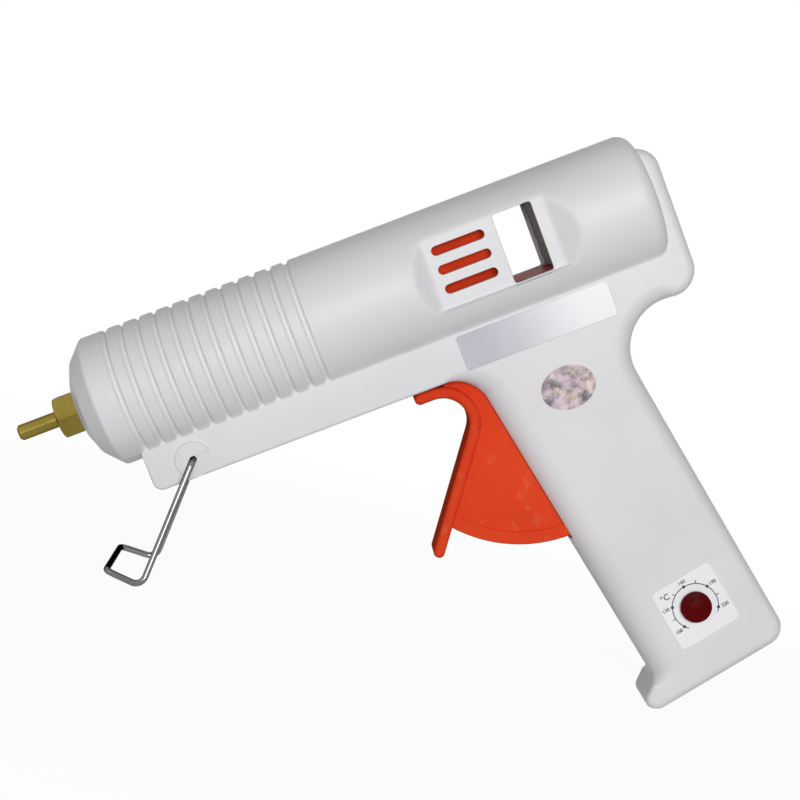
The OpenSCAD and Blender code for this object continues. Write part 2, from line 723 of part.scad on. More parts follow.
// Silicone sleeve that leads the stick into the chamber
module inlet_sleeve() {
    grip_end = chamber_end + spigot_len + 0.1;
    start = chamber_end + 0.1;
    color("firebrick") set_down() turned_x([[start, spigot_r + fit_gap], [grip_end, spigot_r + fit_gap],
        [grip_end, stick_r + 0.7], [sleeve_end - 1.5, stick_r + 0.7], [sleeve_end, stick_r + 1.6],
        [sleeve_end, spigot_r + 1], [grip_end + 2, spigot_r + 1],
        [grip_end, spigot_r + 1.8], [start, spigot_r + 1.8]]);
}

module sleeve_clip() {
    x = chamber_end + 4;
    w = 3;
    r = spigot_r + 1.8 + fit_gap;
    ear = 1.2;
    color("gray") set_down() {
        difference() {
            ring_x_piece(x, x + w, r, r + 0.8);
            block(x - past, x + w + past, -ear, ear, 0, barrel_r);
        }
        for (s = [0, 1]) mirror([0, s, 0]) block(x, x + w, ear, ear + 0.8, r + 0.1, r + 3);
    }
}

// Carriage that grips the stick: box round the bore, a tray that slides on the shell's rails,
// and lugs for the drive pin and the spring
module feed_carriage() {
    band_half = carriage_half + 1.6;
    jaw_end = carriage_end - 2;
    color("orangered") set_down() difference() {
        union() {
            block(carriage_x, carriage_end, -carriage_half, carriage_half, tray_top - 0.5, carriage_top);
            block(carriage_x, carriage_end, -band_half, band_half, -0.6, 4.6);
            block(carriage_end - 4, tray_end, -tray_half, tray_half, tray_z, tray_top);
            for (s = [0, 1]) mirror([0, s, 0])
                block(drive_x - 3.6, drive_x + 3.6, lug_in, lug_out, drive_z - 3, tray_z + 0.5);
            block(jaw_end, carriage_end, -3, 3, carriage_top - 1, spring_z + 2);
        }
        rod_x(carriage_x - past, carriage_end + past, stick_r + 0.6);
        block(carriage_x - past, jaw_end, -jaw_half - run_gap, jaw_half + run_gap, 0, carriage_top + past);
        rod_y([drive_x, drive_z], -barrel_r, barrel_r, drive_r + fit_gap);
        rod_y(jaw_at, -barrel_r, barrel_r, jaw_pin_r + fit_gap);
        translate([0, 0, spring_z]) rod_x(jaw_end - past, carriage_end + past, 0.9);
    }
}

module drive_pin() {
    color("silver") set_down() rod_y([drive_x, drive_z], -lug_out, lug_out, drive_r);
}

// Toothed jaw that tips down on the stick as the carriage is pushed
module clamp_jaw() {
    under = bore_r + 0.6;
    nose = carriage_x + 1.5;
    teeth = 4;
    tooth = 1.6;
    color("dimgray") set_down() difference() {
        side_plate(concat(
            [for (i = [0 : teeth - 1])
                each [[nose + i * tooth, under + 0.8], [nose + (i + 0.5) * tooth, under]]],
            [[nose + teeth * tooth, under + 0.8], [jaw_at[0] + 2.2, under + 0.4],
            [jaw_at[0] + 2.2, jaw_at[1] + 1.8],
            [nose + 2, jaw_at[1] + 1.8], [nose, under + 2.4]]), -jaw_half, jaw_half);
        rod_y(jaw_at, -barrel_r, barrel_r, jaw_pin_r + fit_gap);
    }
}

module jaw_pin() {
    color("silver") set_down() rod_y(jaw_at, -carriage_half, carriage_half, jaw_pin_r);
}

// Finger bar's inner edge: up from the tip, round over the finger and forward to the horn
horn_z = -keel_drop - 0.5 - bar_t;
horn_x = pivot_x - 29.5;
bar_tip = [pivot_x - 41, -pivot_drop - 33.6];
bar_turn = [pivot_x - 8.4, horn_z];
finger_r = 7.9;
function bar_edge(grow) = let (u = unit(bar_turn - bar_tip), v = [-1, 0], n = -left_of(u),
    top = horn_z + grow, foot = bar_tip + grow * n, rise = (top - foot[1]) / u[1],
    bend = [foot[0] + rise * u[0], top])
    [foot, bend, [horn_x, top], finger_r + grow];
function bar_path(grow) = let (e = bar_edge(grow))
    [for (p = corner([e[0][0], e[0][1]], [e[1][0], e[1][1], e[3], 0, 0], [e[2][0], e[2][1]], 8)) flat(p)];
function backwards(p) = [for (i = [len(p) - 1 : -1 : 0]) p[i]];
function rim_arc(r, a0, a1) = [for (k = [0 : 16]) let (a = a0 + (a1 - a0) * k / 16)
    [pivot_x + r * cos(a), r * sin(a) - pivot_drop]];
rim_from = 217;
rim_to = 280;

// Trigger: finger bar with its horn, web, rim, hub and the arm that drives the carriage
module trigger() {
    inner = bar_edge(0);
    outer = bar_edge(bar_t);
    tip_at = (inner[0] + outer[0]) / 2;
    tip_round = [for (a = [20 : 20 : 160]) tip_at + turned(outer[0] - tip_at, -a)];
    bar = concat([inner[0]], bar_path(0), [inner[2]], [outer[2]], backwards(bar_path(bar_t)),
        [outer[0]], tip_round);
    along_arm = turned([0, 1], -drive_lean);
    off_arm = left_of(along_arm);
    hub_at = [pivot_x, -pivot_drop];
    inside_hub = (pivot_pin_r + hub_r) / 2;
    grip_top = bar_path(bar_t / 2);
    web = concat([grip_top[0]], rim_arc(rim_r - 1, rim_from, rim_to),
        [for (a = [rim_to, 350, 60]) hub_at + inside_hub * [cos(a), sin(a)]],
        [[grip_x + 5, -keel_drop - 0.3], [grip_x - 6, -keel_drop - 0.3], grip_top[len(grip_top) - 1]],
        backwards([for (i = [1 : len(grip_top) - 2]) grip_top[i]]));
    color("orangered") set_down() difference() {
        union() {
            side_plate(bar, -bar_half, bar_half);
            side_plate(web, -web_half, web_half);
            side_plate(concat(rim_arc(rim_r, rim_from, rim_to), rim_arc(rim_r - 4, rim_to, rim_from)),
                -rim_half, rim_half);
            rod_y(hub_at, -hub_half, hub_half, hub_r);
            side_plate([hub_at - 3.6 * off_arm, hub_at + 3.6 * off_arm,
                hub_at + 3.6 * off_arm + arm_end * along_arm,
                hub_at - 3.6 * off_arm + arm_end * along_arm], -arm_half, arm_half);
        }
        rod_y(hub_at, -barrel_r, barrel_r, pivot_pin_r + fit_gap);
        side_plate([for (s = [[-1, 28.2], [1, 28.2], [1, 36], [-1, 36]])
            hub_at + s[0] * (drive_r + 0.15) * off_arm + s[1] * along_arm], -barrel_r, barrel_r);
    }
}

module trigger_pin() {
    color("silver") set_down() rod_y([pivot_x, -pivot_drop], -slab_half + 0.8, slab_half - 0.8, pivot_pin_r);
}

// Extension spring that draws the carriage back
return_path = coil(carriage_end + 2, spring_post - 3, 2.1, 18, 4.4, spring_z);
echo(return_spring_gap = coil_gap(return_path, spring_wire));

module return_spring() {
    color("silver") set_down() tube(return_path, spring_wire, 6);
}

module stick_guide() {
    color("dimgray") set_down() difference() {
        union() {
            rod_x(spine_x - 6, spine_x - 0.3, stick_r + 2.4);
            rod_x(spine_x - 6, spine_x - wall - fit_gap, min(stick_r + 2.6, slab_in - fit_gap));
        }
        rod_x(spine_x - 6 - past, spine_x + past, stick_r + 0.7);
    }
}

module control_board() {
    color("darkgreen") set_down() on_dial() block(-13, 9.5, board_y, board_y + board_t, -8, 28);
}

shaft_r = 1.6;

// Potentiometer on the board's left face
module potentiometer() {
    color("steelblue") set_down() on_dial() difference() {
        block(-5, 5, -5, board_y, -5.5, 5);
        rod_y([0, 0], -6, -0.4, shaft_r + fit_gap);
    }
}

// Shaft that the knob turns
module dial_shaft() {
    color("silver") set_down() on_dial() rod_y([0, 0], -slab_half + 0.4, -0.5, shaft_r);
}

module board_parts() {
    y = board_y + board_t;
    color("gold") set_down() on_dial() {
        block(-11, 0, y, y + 5, 10, 20);
        block(2, 8.6, y, y + 4, 1, 16);
        block(-8, 4, y, y + 5.5, -6.5, 0);
    }
}

// Domed knob with a skirt through the dial plate and a dimple for a pointer
module dial_knob() {
    top = -slab_half - plate_t - run_gap - knob_h;
    color("darkred") set_down() on_dial() difference() {
        rotate([90, 0, 0]) rotate_extrude() polygon(concat([[0, slab_in - 1], [knob_r - 0.7, slab_in - 1],
            [knob_r - 0.7, slab_half + plate_t + run_gap], [knob_r, slab_half + plate_t + run_gap],
            [knob_r, -top - 1.2]],
            [for (k = [1 : 6]) let (f = k / 6) [(knob_r - 0.2) * (1 - f), -top - 0.9 * (1 - f) * (1 - f)]]));
        rod_y([0, 0], -slab_half, -slab_in + 2, shaft_r + fit_gap);
        translate([0, top + 0.15, knob_r - 1.6]) sphere(0.7);
    }
}

// Bush flush with the butt, held by its flange behind the wall
module cord_bush() {
    flange = 6.4;
    neck = 5.2;
    face = butt_z + 0.1;
    back = butt_z + wall + 2.5;
    color("black") set_down() on_dial() translate([cord_x, 0, 0]) difference() {
        rotate_extrude() polygon([[0, face], [neck - 0.5, face], [neck, face + 0.5],
            [neck, butt_z + wall + fit_gap], [flange, butt_z + wall + fit_gap], [flange, back], [0, back]]);
        translate([0, 0, face - past]) cylinder(h = wall + 2.4 + 2 * past, r = cord_r);
    }
}

// Bar that clamps the supply cord against the right half
module cord_clamp() {
    color("ivory") set_down() on_dial() difference() {
        block(cord_x - clamp_reach - 2.6, cord_x + clamp_reach + 2.6, -1, 2, clamp_z - 2.2, clamp_z + 2.2);
        for (x = [-clamp_reach, clamp_reach]) rod_y([cord_x + x, clamp_z], -2, 3, 1.2 + fit_gap);
    }
}

module clamp_screws() {
    color("silver") set_down() on_dial() for (x = [-clamp_reach, clamp_reach]) {
        rod_y([cord_x + x, clamp_z], -1.1, 6.4, 1.2);
        rod_y([cord_x + x, clamp_z], -2.6, -1, 2.2);
    }
}

// Two heater leads, from the board's top edge up beside the trigger and along the keel to the lower heater
lead_r = 1.2;
lead_y = slab_in - lead_r - 0.2;
lead_keel = 10.5 - keel_drop;
lead_end = pack_x + pack_len + lead_r + 0.4;
function by_dial(x, y, z) = [dial_at[0] + x, y, dial_at[1] + z];
function by_pivot(x, y, z) = [pivot_x + x, y, z - pivot_drop];
function under_ring(x, y) = [x, y, -sqrt(pow(inner_r + sink + lead_r + 0.5, 2) - y * y)];
lead_routes = [for (s = [-1, 1]) concat(
    [by_dial(-5.2, s > 0 ? 3.4 : -0.8, 19.8), by_dial(-4.8, s * 3.6, 23.8), by_dial(-4.5, s * 6.2, 28.8),
    by_dial(-4.2, s * lead_y, 33.8), by_dial(-3.7, s * lead_y, 43.8), by_dial(-4.2, s * lead_y, 53.8)],
    [by_pivot(20.6, s * lead_y, -7.5), by_pivot(16.6, s * lead_y, 4.5), by_pivot(10.6, s * lead_y, 15.5),
    by_pivot(2.6, s * lead_y, 22.5)],
    [for (x = [pivot_x - 8.4, pivot_x - 28.4, ring_x + ring_w + 16]) [x, s * lead_y, lead_keel]],
    [[ring_x + ring_w + 4, s * 6.6, lead_keel], under_ring(ring_x + 2, s * 6),
    under_ring(ring_x - 0.6, s * 5.6), under_ring(lead_end + 1, s * 5.2)],
    [for (p = [[4.9, 17.4], [4.6, 14], [4.6, flat_z + pack_t / 2]]) [lead_end, s * p[0], -p[1]]])];

module heater_leads() {
    color("beige") set_down() for (route = lead_routes) tube(route, lead_r, 8);
}

module stand_wire() {
    side = [for (p = [[stand_at, hook_end], [stand_at, leg_y], [stand_bend, stand_half],
        [stand_front, front_half]]) [p[0][0], -p[1], p[0][1]]];
    color("silver") set_down()
        bent_wire(concat(side, [for (i = [3 : -1 : 0]) [side[i][0], -side[i][1], side[i][2]]]),
            wire_r, bend_r);
}

left_shell();
right_shell();
housing_screws();
name_plate();
dial_plate();
oval_seal();
nozzle();
valve_ball();
valve_spring();
melt_chamber();
heater_plates();
heater_clamps();
thermistor();
front_insulator();
rear_insulator();
inlet_sleeve();
sleeve_clip();
feed_carriage();
drive_pin();
clamp_jaw();
jaw_pin();
trigger();
trigger_pin();
return_spring();
stick_guide();
control_board();
potentiometer();
board_parts();
dial_knob();
dial_shaft();
cord_bush();
cord_clamp();
clamp_screws();
heater_leads();
stand_wire();
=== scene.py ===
# %% [markdown]
# # A hot glue applicator
# The tool has a white body in two moulded halves, a brass nozzle, an orange trigger, a wire stand and a dial.
# The CAD model is loaded first and stays where it is. Pieces whose looks need more than the CAD mesh has are
# made again here, in millimetres along the barrel, and then set down where the CAD model stands.

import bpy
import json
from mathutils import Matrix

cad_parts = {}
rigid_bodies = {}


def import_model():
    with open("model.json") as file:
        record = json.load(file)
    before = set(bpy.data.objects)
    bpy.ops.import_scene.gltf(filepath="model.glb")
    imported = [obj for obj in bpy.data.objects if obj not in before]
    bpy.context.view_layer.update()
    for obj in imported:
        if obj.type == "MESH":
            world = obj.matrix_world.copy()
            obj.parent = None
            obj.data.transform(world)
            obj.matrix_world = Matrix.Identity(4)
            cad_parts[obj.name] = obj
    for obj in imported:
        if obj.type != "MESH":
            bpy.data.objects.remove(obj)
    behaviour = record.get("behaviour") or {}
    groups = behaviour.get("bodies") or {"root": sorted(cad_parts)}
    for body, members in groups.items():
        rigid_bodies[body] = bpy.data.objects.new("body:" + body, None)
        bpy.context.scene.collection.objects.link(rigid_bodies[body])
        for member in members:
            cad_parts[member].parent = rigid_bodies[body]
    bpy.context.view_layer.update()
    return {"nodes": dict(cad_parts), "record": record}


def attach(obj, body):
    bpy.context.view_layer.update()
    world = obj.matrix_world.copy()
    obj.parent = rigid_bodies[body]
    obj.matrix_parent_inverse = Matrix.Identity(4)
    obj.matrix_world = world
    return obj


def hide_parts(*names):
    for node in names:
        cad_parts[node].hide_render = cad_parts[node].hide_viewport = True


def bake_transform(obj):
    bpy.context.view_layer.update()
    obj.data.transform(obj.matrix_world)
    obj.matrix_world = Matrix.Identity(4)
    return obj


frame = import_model()

import json
import math

import bmesh
import bpy
from mathutils import Matrix, Vector

scene = bpy.context.scene

# %% [markdown]
# ## From the barrel to the table
# The drawing lies along the barrel: x runs back from the nose, z up, y across. The tool stands with its nose
# down. The record's stick inlet gives the barrel's direction and one point on it, so the whole drawing can be
# placed with one matrix and no angle is typed twice.

# %% Place the drawing
MM = 0.001
INLET_X = 185.1
inlet = next(m for m in frame["record"]["mounts"] if m["name"] == "stick_inlet")
along = Vector(inlet["axis"]).normalized()
across = Vector((0, 1, 0))
upward = along.cross(across)
nose = Vector(inlet["pos_m"]) - along * INLET_X * MM
TO_TABLE = Matrix([[along[i] * MM, across[i] * MM, upward[i] * MM, nose[i]] for i in range(3)]
                  + [[0, 0, 0, 1]])
print("nose centre stands at", [round(c, 4) for c in nose])

# %% [markdown]
# ## Tools for outlines, plates and turned pieces
# Most of the moulding is an outline that is pulled out sideways, or a profile that is turned. A corner's arc
# is one vertex that is spun. Every vertex remembers which way is inwards, so that an edge can be rounded
# more at the grip's front than at its heel, which one bevel can't do.

# %% Outlines
MERGE = 1e-4


def left_of(v):
    return Vector((-v.y, v.x))


def only(kind, parts):
    return [part for part in parts if isinstance(part, kind)]


def merged(bm):
    bmesh.ops.remove_doubles(bm, verts=bm.verts, dist=MERGE)
    return bm


def outward(bm):
    """The same mesh with every face turned outwards."""
    bmesh.ops.recalc_face_normals(bm, faces=bm.faces)
    return bm


def chain(bm, corners, closed=True, step=6):
    """Vertices through corners (x, z, radius, edge rounding in, out), with place, inward side and edge.

    An arc has a vertex about every step degrees.
    """
    ring = []
    for i, corner in enumerate(corners):
        x, z, radius, edge_in, edge_out = (*corner, 0, 0, 0)[:5]
        here = Vector((x, z))
        before = Vector(corners[i - 1][:2])
        after = Vector(corners[(i + 1) % len(corners)][:2])
        u = (here - before).normalized()
        v = (after - here).normalized()
        turn = math.atan2(u.x * v.y - u.y * v.x, u.dot(v)) if radius else 0
        start = here - u * radius * math.tan(abs(turn) / 2)
        arc = [bm.verts.new((start.x, 0, start.y))]
        steps = max(1, round(abs(math.degrees(turn)) / step)) if radius else 0
        if steps:
            centre = start + left_of(u) * math.copysign(radius, turn)
            bmesh.ops.spin(bm, geom=[arc[0]], cent=(centre.x, 0, centre.y), axis=(0, -1, 0), angle=turn,
                           steps=steps)
            arc += list(bm.verts)[-steps:]
        for k, vert in enumerate(arc):
            share = k / steps if steps else 0
            inward = Matrix.Rotation(turn * share, 2) @ left_of(u)
            ring.append((vert, vert.co.xz, inward, edge_in + (edge_out - edge_in) * share))
    if not closed:
        for (a, *_), (b, *_) in zip(ring, ring[1:]):
            if not bm.edges.get((a, b)):
                bm.edges.new((a, b))
    return ring


def pulled(corners, levels, step=6):
    """A closed block: the outline at each level, which gives y and an inset from the edge's rounding."""
    bm = bmesh.new()
    ring = chain(bm, corners, step=step)
    face = bm.faces.new([entry[0] for entry in ring])
    for number, level in enumerate(levels):
        if number:
            under = face
            made = bmesh.ops.extrude_face_region(bm, geom=[face])["geom"]
            face = only(bmesh.types.BMFace, made)[0]
            if number > 1:
                bmesh.ops.delete(bm, geom=[under], context="FACES_ONLY")
        for vert, (_, place, inward, edge) in zip(face.verts, ring):
            y, inset = level(edge)
            at = place + inward * inset
            vert.co = (at.x, y, at.y)
    return outward(bm)


def flat(y, inset=0.0):
    """A level that is the same for every edge."""
    return lambda edge: (y, inset)


def rounded(bm, edges, radius, segments=2):
    bmesh.ops.bevel(bm, geom=edges, offset=radius, offset_type="OFFSET", segments=segments, profile=0.5,
                    affect="EDGES", material=-1)


def plate(corners, y0, y1, edge=0.0, segments=3):
    """An outline pulled from y0 to y1, with both rims rounded by a bevel."""
    bm = pulled(corners, [flat(y0), flat(y1)])
    if edge:
        rims = [e for e in bm.edges if abs(e.verts[0].co.y - e.verts[1].co.y) < MERGE]
        rounded(bm, rims, edge, segments)
    return bm


def box_corners(x0, z0, x1, z1, radius):
    return [(x0, z0, radius), (x1, z0, radius), (x1, z1, radius), (x0, z1, radius)]


def polar(radius, degrees, centre=(0, 0)):
    angle = math.radians(degrees)
    return centre[0] + radius * math.cos(angle), centre[1] + radius * math.sin(angle)


def sided(side, near, far):
    """Two distances from the parting plane as y values of one side, the lower one first."""
    return sorted((side * near, side * far))


# %% [markdown]
# A turned piece starts as half of its section in the plane y = 0 and is spun once round the barrel's axis.
# The first and last copies are merged, and so are the doubles on the axis. Rods and blocks come from
# Blender's own cone and cube, because inside the body nothing more is needed.

# %% Turned pieces, rods and blocks
def turned(corners, steps, step=6):
    bm = bmesh.new()
    chain(bm, corners, closed=False, step=step)
    bmesh.ops.spin(bm, geom=bm.verts[:] + bm.edges[:], cent=(0, 0, 0), axis=(1, 0, 0), angle=math.tau,
                   steps=steps, use_merge=True)
    return outward(merged(bm))


ACROSS_TURN = Matrix.Rotation(math.radians(90), 4, "X")
BARREL_TURN = Matrix.Rotation(math.radians(90), 4, "Y")


def rod(matrix, length, radius, segments):
    bm = bmesh.new()
    bmesh.ops.create_cone(bm, cap_ends=True, segments=segments, radius1=radius, radius2=radius, depth=length,
                          matrix=matrix)
    return bm


def rod_across(at, y0, y1, radius, segments=48):
    return rod(Matrix.Translation((at[0], (y0 + y1) / 2, at[1])) @ ACROSS_TURN, y1 - y0, radius, segments)


def rod_along(x0, x1, radius, segments=64):
    return rod(Matrix.Translation(((x0 + x1) / 2, 0, 0)) @ BARREL_TURN, x1 - x0, radius, segments)


def block(x0, x1, y0, y1, z0, z1):
    bm = bmesh.new()
    middle = Matrix.Translation(((x0 + x1) / 2, (y0 + y1) / 2, (z0 + z1) / 2))
    bmesh.ops.create_cube(bm, size=1, matrix=middle @ Matrix.Diagonal((x1 - x0, y1 - y0, z1 - z0, 1)))
    return bm


# %% [markdown]
# Pieces are joined and cut with Blender's Boolean modifier on its Manifold solver, which is quick on closed
# meshes and leaves them closed. The helper makes two passing objects, reads the result and clears both away.

# %% Joining and cutting
def as_mesh(bm, name="passing"):
    mesh = bpy.data.meshes.new(name)
    bm.to_mesh(mesh)
    bm.free()
    return mesh


def in_scene(name, data):
    made = bpy.data.objects.new(name, data)
    scene.collection.objects.link(made)
    return made


def combine(first, second, operation):
    base, tool = [in_scene("passing", as_mesh(bm)) for bm in (first, second)]
    step = base.modifiers.new("combine", "BOOLEAN")
    step.operation = operation
    step.solver = "MANIFOLD"
    step.object = tool
    ready = base.evaluated_get(bpy.context.evaluated_depsgraph_get())
    result = bmesh.new()
    result.from_mesh(ready.data)
    for made in (base, tool):
        mesh = made.data
        bpy.data.objects.remove(made)
        bpy.data.meshes.remove(mesh)
    return result


def joined(total, *pieces):
    for piece in pieces:
        total = combine(total, piece, "UNION")
    return total


def cut(total, *tools):
    for tool in tools:
        total = combine(total, tool, "DIFFERENCE")
    return total


def gathered(pieces):
    """Pieces that don't touch, in one mesh."""
    total = bmesh.new()
    for piece in pieces:
        mesh = as_mesh(piece)
        total.from_mesh(mesh)
        bpy.data.meshes.remove(mesh)
    return total


# %% [markdown]
# A finished piece is set down by the one matrix, shaded smooth except at real edges, and given its finish.
# Weighted normals keep large flats flat beside their rounded edges. It rides on a CAD body, or stays where it
# is set down with no body, and says which CAD node it stands for.

# %% Finished pieces
looks, replaced = {}, set()


def finished(name, bm, look, body, stands_for=(), sharp=35, walls=None, inner=None, bends=None):
    mesh = as_mesh(bm, name)
    mesh.materials.append(looks[look])
    if inner:
        mesh.materials.append(looks[inner])
        for face in mesh.polygons:
            face.material_index = int(walls(face.center, face.normal))
    mesh.transform(TO_TABLE)
    mesh.shade_smooth()
    mesh.set_sharp_from_angle(angle=math.radians(sharp))
    piece = in_scene(name, mesh)
    flats = piece.modifiers.new("flats", "WEIGHTED_NORMAL")
    flats.keep_sharp = True
    if bends:
        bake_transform(piece)
    else:
        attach(piece, body)
    if stands_for:
        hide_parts(*stands_for)
        replaced.update(stands_for)
    print(name, "has", len(mesh.polygons), "faces")


# %% [markdown]
# ## Shared effects of the finishes
# Moulded and machined surfaces share three things: a fine grain that catches light, a slow drift of tone, and
# patches of another tone, which are rubs from handling on most finishes and painted dark reflections on the
# wire. Each is a node group, built once, with values of its own in every finish.

# %% Nodes
def add_node(tree, kind, inputs=(), **settings):
    """A shader node with its settings. An input takes a value, or a link from another node's output."""
    node = tree.nodes.new("ShaderNode" + kind)
    for title, value in settings.items():
        setattr(node, title, value)
    for title, value in dict(inputs).items():
        if isinstance(value, bpy.types.NodeSocket):
            tree.links.new(value, node.inputs[title])
        else:
            node.inputs[title].default_value = value
    return node


def maths(tree, operation, first, second, **settings):
    return add_node(tree, "Math", {0: first, 1: second}, operation=operation, **settings).outputs[0]


def mixed(tree, share, low, high):
    mix = add_node(tree, "Mix", {"Factor": share, "A": low, "B": high}, data_type="RGBA")
    return mix.outputs["Result"]


def position(tree):
    return add_node(tree, "TexCoord").outputs["Object"]


def place_noise(tree, scale, detail=4.0, rough=0.55):
    return add_node(tree, "TexNoise", {"Vector": position(tree), "Scale": scale, "Detail": detail,
                                       "Roughness": rough}).outputs["Fac"]


# %% Node groups
FLOAT, COLOUR = "NodeSocketFloat", "NodeSocketColor"
PATCH_STEEPNESS = 6.0


def effect_group(name, inputs, outputs):
    group = bpy.data.node_groups.new(name, "ShaderNodeTree")
    for title, kind, value in inputs:
        group.interface.new_socket(title, in_out="INPUT", socket_type=kind).default_value = value
    for title, kind in outputs:
        group.interface.new_socket(title, in_out="OUTPUT", socket_type=kind)
    return group, group.nodes.new("NodeGroupInput").outputs, group.nodes.new("NodeGroupOutput").inputs


grain, given, result = effect_group(
    "surface_grain",
    [("Scale", FLOAT, 900.0), ("Smooth", FLOAT, 0.3), ("Rough", FLOAT, 0.5)],
    [("Roughness", FLOAT), ("Height", FLOAT)])
noise = place_noise(grain, given["Scale"])
spread = add_node(grain, "MapRange", {"Value": noise, "From Min": 0.3, "From Max": 0.7,
                                      "To Min": given["Smooth"], "To Max": given["Rough"]})
grain.links.new(spread.outputs["Result"], result["Roughness"])
grain.links.new(noise, result["Height"])

drift, given, result = effect_group(
    "tone_drift",
    [("Scale", FLOAT, 18.0), ("Light", COLOUR, (1, 1, 1, 1)), ("Dark", COLOUR, (0, 0, 0, 1))],
    [("Color", COLOUR)])
noise = place_noise(drift, given["Scale"], detail=3.0)
contrast = add_node(drift, "MapRange", {"Value": noise, "From Min": 0.32, "From Max": 0.68},
                    interpolation_type="SMOOTHSTEP")
drift.links.new(mixed(drift, contrast.outputs["Result"], given["Dark"], given["Light"]), result["Color"])

# The patches are rubs from handling, and on the wire they are painted dark reflections.
tone_patches, given, result = effect_group(
    "rubs_and_painted_reflections",
    [("Scale", FLOAT, 60.0), ("Least", FLOAT, 0.62), ("Strength", FLOAT, 0.5)],
    [("Mask", FLOAT)])
noise = place_noise(tone_patches, given["Scale"], detail=8.0, rough=0.7)
above = maths(tone_patches, "SUBTRACT", noise, given["Least"])
steep = maths(tone_patches, "MULTIPLY", above, PATCH_STEEPNESS, use_clamp=True)
tone_patches.links.new(maths(tone_patches, "MULTIPLY", steep, given["Strength"]), result["Mask"])
print("node groups:", [g.name for g in (grain, drift, tone_patches)])


# %% [markdown]
# ## Finishes
# One function lays out a finish: a drift between two tones, patches of a third, where given a painted
# reflection that fades in, the grain's roughness and a bump of its height. The patches are rubs, spots or
# foil marks on most finishes and painted dark reflections on the wire. What is the same all over, such as
# metal or sheen, goes on the shader's own socket.

# %% Finish function
BUMP_MM = 0.05


def rgb(r, g, b):
    """A colour as seen on screen, 0 to 255, in the linear numbers that shaders take."""
    return tuple(((c / 255 + 0.055) / 1.055) ** 2.4 if c > 10 else c / 255 / 12.92 for c in (r, g, b)) + (1,)


def faded(tree, colour, start, end, tone):
    """Mixes in a tone from one point of the barrel's drawing to another."""
    start, end = TO_TABLE @ Vector(start), TO_TABLE @ Vector(end)
    way = (end - start) / (end - start).length_squared
    run = add_node(tree, "VectorMath", {0: position(tree), 1: way}, operation="DOT_PRODUCT").outputs["Value"]
    span = add_node(tree, "MapRange", {"Value": run, "From Min": start.dot(way), "From Max": end.dot(way)},
                    interpolation_type="SMOOTHSTEP")
    return mixed(tree, span.outputs["Result"], colour, tone)


def finish(name, light, dark, smooth, rough, grain_scale=900, bump=0.06, drift_scale=18, patch_tone=None,
           patch_scale=60, patch_least=0.62, patch_strength=0.4, painted_reflection=None, **constant):
    material = bpy.data.materials.new(name)
    material.use_nodes = True
    tree = material.node_tree
    shader = tree.nodes["Principled BSDF"].inputs

    def use(group, **values):
        return add_node(tree, "Group", values, node_tree=group).outputs

    colour = use(drift, Scale=drift_scale, Light=light, Dark=dark)["Color"]
    if patch_tone:
        patched = use(tone_patches, Scale=patch_scale, Least=patch_least, Strength=patch_strength)
        colour = mixed(tree, patched["Mask"], colour, patch_tone)
    # A fade, where one is given, is a painted reflection.
    if painted_reflection:
        colour = faded(tree, colour, *painted_reflection)
    tree.links.new(colour, shader["Base Color"])
    texture = use(grain, Scale=grain_scale, Smooth=smooth, Rough=rough)
    tree.links.new(texture["Roughness"], shader["Roughness"])
    raised = add_node(tree, "Bump", {"Strength": bump, "Distance": BUMP_MM * MM, "Height": texture["Height"]})
    tree.links.new(raised.outputs["Normal"], shader["Normal"])
    for title, value in constant.items():
        shader[title.replace("_", " ")].default_value = value
    looks[name] = material


# %% [markdown]
# The body is a pale grey-white plastic with a faint moulded texture. The trigger is satin orange-red and has
# paler scuffs. Brass and wire are metals: the brass is dull and spotted by heat. The wire is bright metal,
# but its grey tone, dark edge tint and dark patches are painted dark reflections.

# %% Finishes that show
finish("body_white", rgb(222, 222, 224), rgb(216, 216, 219), 0.36, 0.48, grain_scale=1500, bump=0.10,
       patch_tone=rgb(205, 205, 206), patch_scale=140, patch_least=0.66, patch_strength=0.25, Specular_IOR_Level=0.3)
# Dark brown painted shade for the bulkhead and the window's inner walls.
finish("window_painted_shade", rgb(112, 92, 86), rgb(78, 58, 54), 0.5, 0.7, grain_scale=800, bump=0.2,
       drift_scale=220, Specular_IOR_Level=0.2)
finish("trigger_orange", rgb(228, 76, 42), rgb(214, 62, 32), 0.32, 0.46, grain_scale=1200, bump=0.10,
       patch_tone=rgb(236, 130, 96), patch_scale=170, patch_least=0.58, patch_strength=0.5, Specular_IOR_Level=0.0)
finish("nozzle_brass", rgb(140, 125, 60), rgb(104, 87, 34), 0.20, 0.36, grain_scale=700, bump=0.15,
       patch_tone=rgb(84, 66, 36), patch_scale=260, patch_strength=0.6, Metallic=1.0, Specular_Tint=rgb(120, 104, 70))
# The wire's grey tone, dark specular tint and dark patches are painted dark reflections.
finish("stand_painted_reflections", rgb(150, 149, 148), rgb(112, 111, 110), 0.08, 0.18, grain_scale=600,
       patch_tone=rgb(40, 38, 36), patch_scale=160, patch_least=0.6, patch_strength=0.7, Metallic=1.0,
       Specular_Tint=rgb(60, 58, 56))
finish("knob_red", rgb(92, 7, 10), rgb(66, 3, 6), 0.34, 0.48, grain_scale=500, bump=0.05,
       Specular_IOR_Level=0.03)
finish("dial_white", rgb(242, 242, 244), rgb(235, 235, 239), 0.16, 0.26, grain_scale=700, bump=0.04)
finish("dial_ink", rgb(40, 40, 44), rgb(24, 24, 28), 0.4, 0.6, grain_scale=1500, bump=0.05)
